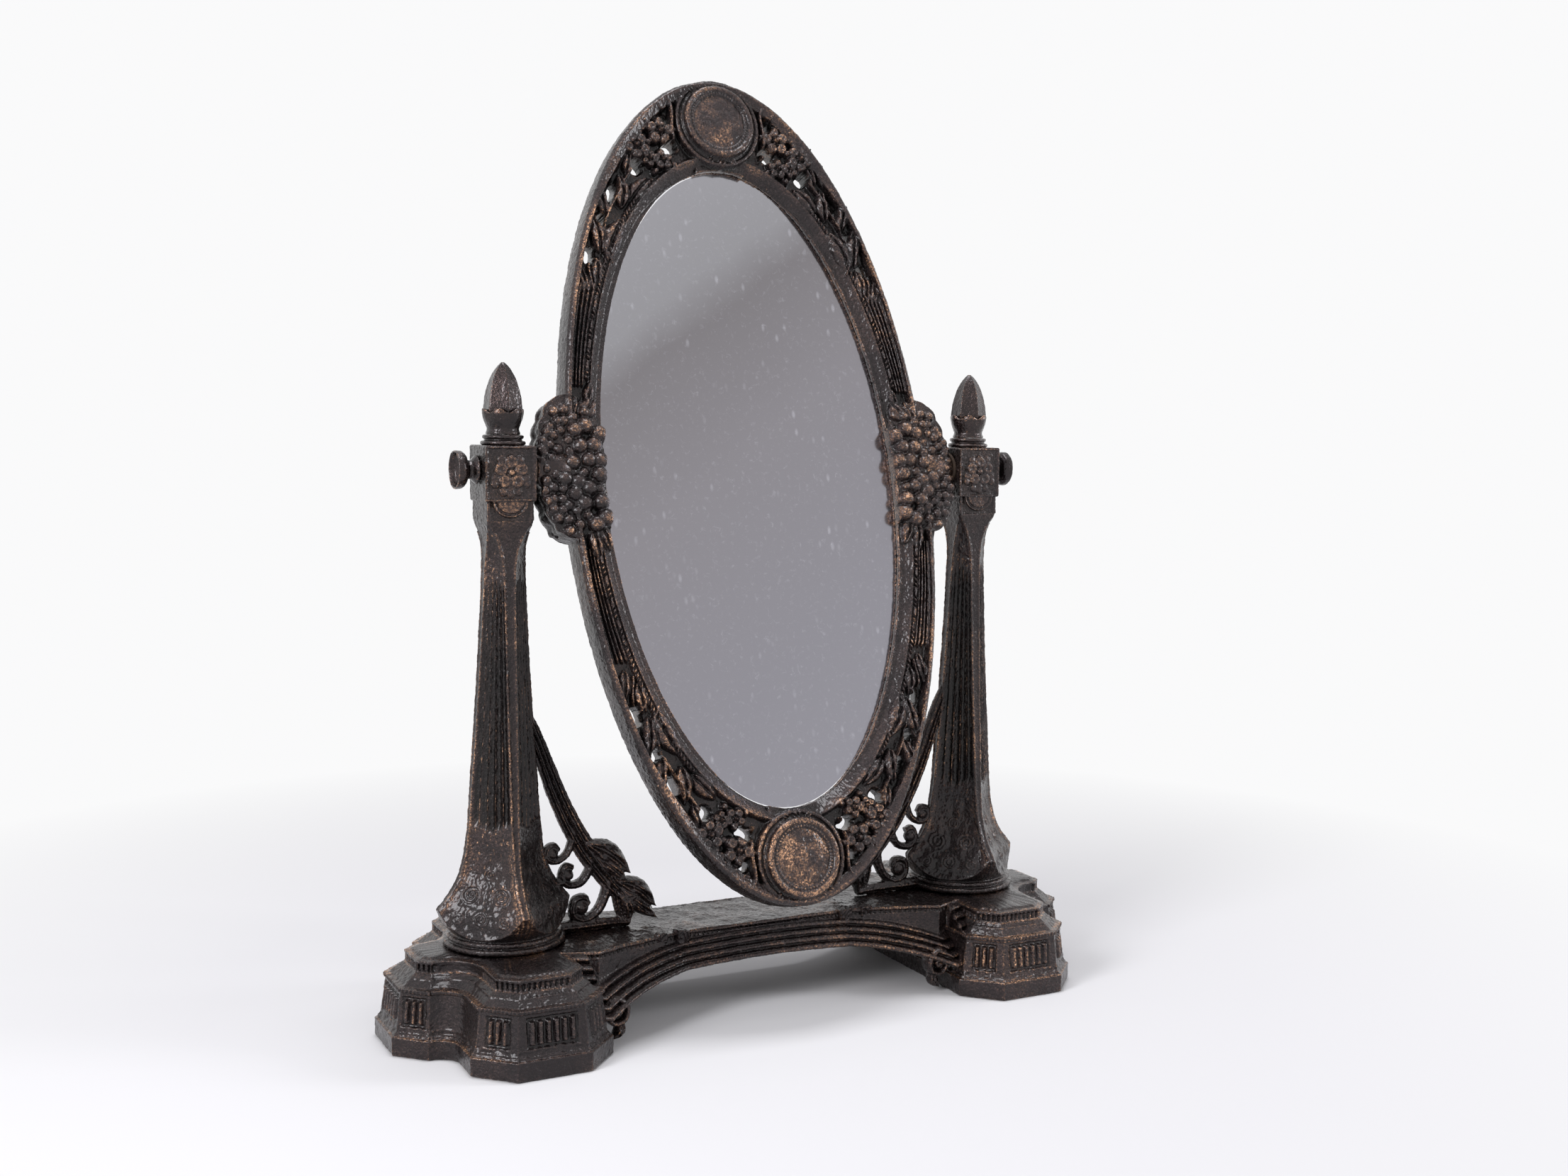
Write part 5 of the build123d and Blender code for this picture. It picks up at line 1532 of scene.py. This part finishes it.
# %% [markdown]
# The patina group turns three values into colour, gloss and grain: how much is rubbed
# off, and how smooth and how rough the lacquer may be. A simpler group gives the small
# parts an uneven tint.

# %% Patina and dust groups
patina, given, made = new_group("aged_bronze_patina", [
    ("Rub", "NodeSocketFloat", 1.0), ("Smooth", "NodeSocketFloat", 0.2),
    ("Rough", "NodeSocketFloat", 0.42)], [
    ("Colour", "NodeSocketColor"), ("Roughness", "NodeSocketFloat"), ("Grain", "NodeSocketFloat")])
shape = patina.nodes.new("ShaderNodeNewGeometry")
carved = patina.nodes.new("ShaderNodeAttribute")
carved.attribute_name = "carving"
edges = span(patina, shape.outputs["Pointiness"], 0.507, 0.560)
raised = span(patina, carved.outputs["Fac"], 0.30, 1.30)
sunk = span(patina, carved.outputs["Fac"], -0.40, -1.90)
patchy = span(patina, noise(patina, 24, 5, 0.65), 0.42, 0.64)
fleck = span(patina, noise(patina, 1000, 3, 0.7), 0.44, 0.62)
worn = sums(patina, "MAXIMUM", sums(patina, "MULTIPLY", edges, 0.9), raised)
in_patches = sums(patina, "ADD", sums(patina, "MULTIPLY", patchy, 0.65), 0.35)
worn = sums(patina, "MULTIPLY", worn, in_patches)
bloom = sums(patina, "MULTIPLY", patchy, 0.34)
worn = sums(patina, "MULTIPLY", sums(patina, "ADD", worn, bloom), given["Rub"])
in_flecks = sums(patina, "ADD", sums(patina, "MULTIPLY", fleck, 0.9), 0.25)
worn = sums(patina, "MULTIPLY", worn, in_flecks)
colour = ramp(patina, worn, [(0.0, (0.014, 0.0092, 0.0098)), (0.22, (0.039, 0.0245, 0.0225)),
                             (0.6, (0.15, 0.083, 0.052)), (1.0, (0.46, 0.26, 0.15))])
# Low carving darkens the colour towards near black: in the hollows, on the hole walls and inside the
# feet and the bridge.
darker_hollows = sums(patina, "MULTIPLY", sunk, 0.75)
colour = blend_colours(patina, darker_hollows, colour, (0.004, 0.0035, 0.0035))
gloss = span(patina, noise(patina, 380, 4, 0.7), 0.3, 0.7, given["Smooth"], given["Rough"])
fine_grain = sums(patina, "MULTIPLY", noise(patina, 1500, 2), 0.4)
grain = sums(patina, "ADD", noise(patina, 560, 3, 0.62), fine_grain)
patina.links.new(colour, made["Colour"])
patina.links.new(gloss, made["Roughness"])
patina.links.new(grain, made["Grain"])

tinted, given, made = new_group("uneven_tint", [
    ("Dark", "NodeSocketColor", (0.1, 0.1, 0.1, 1)), ("Light", "NodeSocketColor", (0.2, 0.2, 0.2, 1)),
    ("Smooth", "NodeSocketFloat", 0.3), ("Rough", "NodeSocketFloat", 0.5)], [
    ("Colour", "NodeSocketColor"), ("Roughness", "NodeSocketFloat"), ("Grain", "NodeSocketFloat")])
colour = blend_colours(tinted, span(tinted, noise(tinted, 140, 5), 0.35, 0.65), given["Dark"],
                       given["Light"])
tinted.links.new(colour, made["Colour"])
tinted.links.new(span(tinted, noise(tinted, 220), 0.3, 0.7, given["Smooth"], given["Rough"]),
                 made["Roughness"])
tinted.links.new(noise(tinted, 900, 3), made["Grain"])
print("groups:", patina.name, len(patina.nodes), tinted.name, len(tinted.nodes))

# %% [markdown]
# Large castings and small turned ones share the patina. The small ones were filed and
# polished, so they have less grain and more gloss.

# %% Cast bronze
def new_material(name):
    """An empty node material with its output."""
    material = bpy.data.materials.new(name)
    material.use_nodes = True
    material.node_tree.nodes.clear()
    tree = material.node_tree
    shader = tree.nodes.new("ShaderNodeBsdfPrincipled")
    out = tree.nodes.new("ShaderNodeOutputMaterial")
    tree.links.new(shader.outputs["BSDF"], out.inputs["Surface"])
    return material, tree, shader


def placed_group(tree, shader, group, bump_mm, **values):
    """Put a group in a material with its own values and feed the shader from it."""
    node = tree.nodes.new("ShaderNodeGroup")
    node.node_tree = group
    for label, value in values.items():
        node.inputs[label].default_value = value
    bump = tree.nodes.new("ShaderNodeBump")
    bump.inputs["Distance"].default_value = bump_mm * MM
    tree.links.new(node.outputs["Grain"], bump.inputs["Height"])
    tree.links.new(bump.outputs["Normal"], shader.inputs["Normal"])
    tree.links.new(node.outputs["Colour"], shader.inputs["Base Color"])
    tree.links.new(node.outputs["Roughness"], shader.inputs["Roughness"])


def bronze_material(name, bump_mm, **values):
    """Lacquered bronze patina over iron."""
    material, tree, shader = new_material(name)
    shader.inputs["Metallic"].default_value = 0.85
    shader.inputs["Specular IOR Level"].default_value = 0.6
    shader.inputs["Coat Weight"].default_value = 0.5
    shader.inputs["Coat Roughness"].default_value = 0.15
    placed_group(tree, shader, patina, bump_mm, **values)
    return material


cast_bronze = bronze_material("aged_bronze", 1.0, Rub=1.0, Smooth=0.20, Rough=0.36)
turned_bronze = bronze_material("aged_bronze_small_parts", 0.5, Rub=0.9, Smooth=0.12, Rough=0.30)
for piece in list(posts.values()) + list(brackets.values()) + base_pieces + [mirror_frame]:
    piece.data.materials.append(cast_bronze)
for piece in small_castings + bosses:
    piece.data.materials.append(turned_bronze)
print("bronze on", len(bpy.data.materials["aged_bronze"].node_tree.nodes), "nodes")

# %% [markdown]
# The glass is a metal mirror whose colour is a painted reflection: a low grey that drifts
# across it in a diagonal gradient with a darker band. Specks and haze lie over that and blur
# the reflection. The attribute that holds the carving on the castings marks a painted glint
# along the edge here.

# %% Mirror glass
silver, tree, shader = new_material("silvered_glass_painted_reflection")
shader.inputs["Metallic"].default_value = 1.0
where = tree.nodes.new("ShaderNodeTexCoord")
# Painted reflection: the mirror's low grey, its diagonal gradient and its darker band are painted
# into its colour.
reflection_slant = tree.nodes.new("ShaderNodeVectorMath")
reflection_slant.operation = "DOT_PRODUCT"
reflection_slant.inputs[1].default_value = (-0.9, 0.0, 1.45)
tree.links.new(where.outputs["Object"], reflection_slant.inputs[0])
reflection_drift = sums(tree, "ADD", reflection_slant.outputs["Value"], sums(tree, "MULTIPLY", noise(tree, 14, 3), 0.03))
dusty_painted_reflection = ramp(tree, span(tree, reflection_drift, 0.05, 0.62), [
    (0.0, (0.335, 0.33, 0.37)), (0.35, (0.30, 0.292, 0.325)), (0.62, (0.285, 0.272, 0.295)),
    (0.80, (0.235, 0.222, 0.235)), (0.86, (0.33, 0.325, 0.345)), (1.0, (0.36, 0.355, 0.38))])
spots = tree.nodes.new("ShaderNodeTexVoronoi")
spots.inputs["Scale"].default_value = 150
stretch = tree.nodes.new("ShaderNodeMapping")
stretch.inputs["Rotation"].default_value = (0.0, 0.5, 0.0)
stretch.inputs["Scale"].default_value = (1.3, 1.0, 0.55)
tree.links.new(where.outputs["Object"], stretch.inputs["Vector"])
tree.links.new(stretch.outputs["Vector"], spots.inputs["Vector"])
speck = span(tree, spots.outputs["Distance"], 0.24, 0.10)
speck = sums(tree, "MULTIPLY", speck, span(tree, noise(tree, 45, 2), 0.50, 0.62))
haze = sums(tree, "MULTIPLY", span(tree, noise(tree, 420, 5, 0.75, 0.6), 0.56, 0.72), 0.22)
dust = sums(tree, "ADD", sums(tree, "MULTIPLY", speck, 0.30), haze)
dusty_painted_reflection = blend_colours(tree, dust, dusty_painted_reflection, (0.62, 0.62, 0.68))
# Painted glint: a bright ring painted into the colour at the edge of the glass.
painted_edge_glint = tree.nodes.new("ShaderNodeAttribute")
painted_edge_glint.attribute_name = "carving"
dusty_painted_reflection = blend_colours(tree, painted_edge_glint.outputs["Fac"], dusty_painted_reflection, (0.9, 0.9, 0.92))
tree.links.new(dusty_painted_reflection, shader.inputs["Base Color"])
tree.links.new(span(tree, dust, 0.0, 0.6, 0.14, 0.4), shader.inputs["Roughness"])
glass.data.materials.append(silver)
print("glass:", len(tree.nodes), "nodes")

# %% [markdown]
# The small parts behind and under the mirror, and the washers at the pivots, keep their
# CAD shape. Each gets the finish of its own metal, card or leather.

# %% Card, plate, brass, steel and leather
def plain_material(name, dark, light, metallic, smooth, rough, bump_mm):
    """A simple material with a slight grain in its colour and gloss."""
    material, tree, shader = new_material(name)
    shader.inputs["Metallic"].default_value = metallic
    placed_group(tree, shader, tinted, bump_mm, Dark=(*dark, 1), Light=(*light, 1),
                 Smooth=smooth, Rough=rough)
    return material


# for each: name, dark, light, metallic, smooth, rough and bump in mm
PLAIN_FINISHES = {
    "card": ("grey_card", (0.15, 0.125, 0.095), (0.21, 0.18, 0.14), 0.0, 0.8, 0.95, 0.2),
    "plate": ("black_plate", (0.022, 0.021, 0.02), (0.045, 0.043, 0.04), 0.2, 0.4, 0.6, 0.06),
    "brass": ("dull_brass", (0.30, 0.21, 0.085), (0.44, 0.32, 0.13), 1.0, 0.32, 0.46, 0.04),
    "steel": ("grey_steel", (0.22, 0.21, 0.20), (0.34, 0.33, 0.32), 1.0, 0.34, 0.5, 0.04),
    "leather": ("dark_leather", (0.035, 0.022, 0.014), (0.07, 0.042, 0.026), 0.0, 0.6, 0.8, 0.2),
}
plain = {finish: plain_material(*values) for finish, values in PLAIN_FINISHES.items()}
NODE_FINISH = {
    "backing_card": "card", "back_plate": "plate", "retaining_clips": "brass",
    "clip_screws": "brass", "left_post_bolt": "steel", "right_post_bolt": "steel",
    "left_post_washer": "steel", "right_post_washer": "steel",
    "left_friction_washer": "leather", "right_friction_washer": "leather",
}
for name, finish in NODE_FINISH.items():
    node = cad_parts[name]
    node.data.materials.clear()
    node.data.materials.append(plain[finish])
print("finishes on CAD parts:", len(NODE_FINISH))

# %% [markdown]
# ## Light, floor and camera
#
# The photo is high key: everything round the object is white. Soft lamps stand left,
# right and above. The camera, the glass and the lacquer see white paper all round, while
# the soft light comes from a greyer room, which keeps the hollows dark.

# %% Floor and backdrop
WHITE_PAPER = (0.955, 0.955, 0.96, 1)
floor_mesh = bpy.data.meshes.new("table_top")
floor_mesh.from_pydata([(-3, -3, 0), (3, -3, 0), (3, 3, 0), (-3, 3, 0)], [], [(0, 1, 2, 3)])
floor = bpy.data.objects.new("table_top", floor_mesh)
bpy.context.scene.collection.objects.link(floor)


def white_rays(tree):
    """1 for what the camera, metal and glass see, 0 for soft light."""
    rays = tree.nodes.new("ShaderNodeLightPath")
    seen = sums(tree, "MAXIMUM", rays.outputs["Is Camera Ray"], rays.outputs["Is Glossy Ray"])
    return sums(tree, "MAXIMUM", seen, rays.outputs["Is Transmission Ray"])


floor_material, tree, shader = new_material("white_table")
shader.inputs["Base Color"].default_value = (0.87, 0.87, 0.875, 1)
shader.inputs["Roughness"].default_value = 0.9
shader.inputs["Specular IOR Level"].default_value = 0.1
where = tree.nodes.new("ShaderNodeTexCoord")
distance = tree.nodes.new("ShaderNodeVectorMath")
distance.operation = "LENGTH"
tree.links.new(where.outputs["Object"], distance.inputs[0])
far = span(tree, distance.outputs["Value"], 0.26, 0.62)
far = sums(tree, "MULTIPLY", far, white_rays(tree))
paper = tree.nodes.new("ShaderNodeEmission")
paper.inputs["Color"].default_value = WHITE_PAPER
mix = tree.nodes.new("ShaderNodeMixShader")
tree.links.new(far, mix.inputs["Fac"])
tree.links.new(shader.outputs["BSDF"], mix.inputs[1])
tree.links.new(paper.outputs["Emission"], mix.inputs[2])
out = next(node for node in tree.nodes if node.type == "OUTPUT_MATERIAL")
tree.links.new(mix.outputs["Shader"], out.inputs["Surface"])
floor_mesh.materials.append(floor_material)

world = bpy.data.worlds.new("studio")
bpy.context.scene.world = world
world.use_nodes = True
tree = world.node_tree
tree.nodes.clear()
out = tree.nodes.new("ShaderNodeOutputWorld")
mix = tree.nodes.new("ShaderNodeMixShader")
seen = tree.nodes.new("ShaderNodeBackground")
seen.inputs["Color"].default_value = WHITE_PAPER
room = tree.nodes.new("ShaderNodeBackground")
room.inputs["Color"].default_value = (0.33, 0.325, 0.335, 1)
tree.links.new(white_rays(tree), mix.inputs["Fac"])
tree.links.new(room.outputs["Background"], mix.inputs[1])
tree.links.new(seen.outputs["Background"], mix.inputs[2])
tree.links.new(mix.outputs["Shader"], out.inputs["Surface"])
print("backdrop ready")

# %% [markdown]
# The key stands on the left. A weaker lamp on the right is placed where the glass does
# not mirror it towards the camera, and a third one hangs above.

# %% Lamps
def softbox(name, place_at, width, height, power):
    """A soft area lamp aimed at the middle of the mirror."""
    lamp_data = bpy.data.lights.new(name, "AREA")
    lamp_data.shape = "RECTANGLE"
    lamp_data.size, lamp_data.size_y = width, height
    lamp_data.energy = power
    lamp_data.color = (0.965, 0.96, 1.0)
    lamp = bpy.data.objects.new(name, lamp_data)
    bpy.context.scene.collection.objects.link(lamp)
    lamp.location = place_at
    aim = Vector((0, 0, 0.2)) - Vector(place_at)
    lamp.rotation_euler = aim.to_track_quat("-Z", "Y").to_euler()
    return lamp


softbox("key_light", (-1.2, -0.5, 0.75), 0.42, 0.7, 13)
softbox("fill_light", (1.25, -0.62, 0.6), 0.34, 0.5, 7)
softbox("top_light", (0.0, 0.0, 1.5), 0.5, 0.5, 8)

# %% [markdown]
# The camera is the one solved from the photo: low, close and a little to the left.

# %% Camera
YAW, PITCH, ROLL = 0.478, 0.097, 0.013
CAMERA_AT = (-0.3756, -0.7617, 0.2848)
ahead = np.array([math.sin(YAW) * math.cos(PITCH), math.cos(YAW) * math.cos(PITCH), -math.sin(PITCH)])
across = np.array([math.cos(YAW), -math.sin(YAW), 0.0])
above = np.cross(across, ahead)
right = math.cos(ROLL) * across + math.sin(ROLL) * above
upward = -math.sin(ROLL) * across + math.cos(ROLL) * above
camera_data = bpy.data.cameras.new("photo_camera")
camera_data.lens = 40.09
camera_data.sensor_width = 36.0
camera_data.sensor_fit = "HORIZONTAL"
camera = bpy.data.objects.new("photo_camera", camera_data)
bpy.context.scene.collection.objects.link(camera)
pose = Matrix.Identity(4)
for row in range(3):
    pose[row][0], pose[row][1], pose[row][2] = right[row], upward[row], -ahead[row]
pose[0][3], pose[1][3], pose[2][3] = CAMERA_AT
camera.matrix_world = pose
bpy.context.scene.camera = camera
bpy.context.scene.view_settings.view_transform = "Standard"
print("camera", round(math.dist(CAMERA_AT, (0, 0, PIVOT_Z * MM)), 2), "m from the pivots")
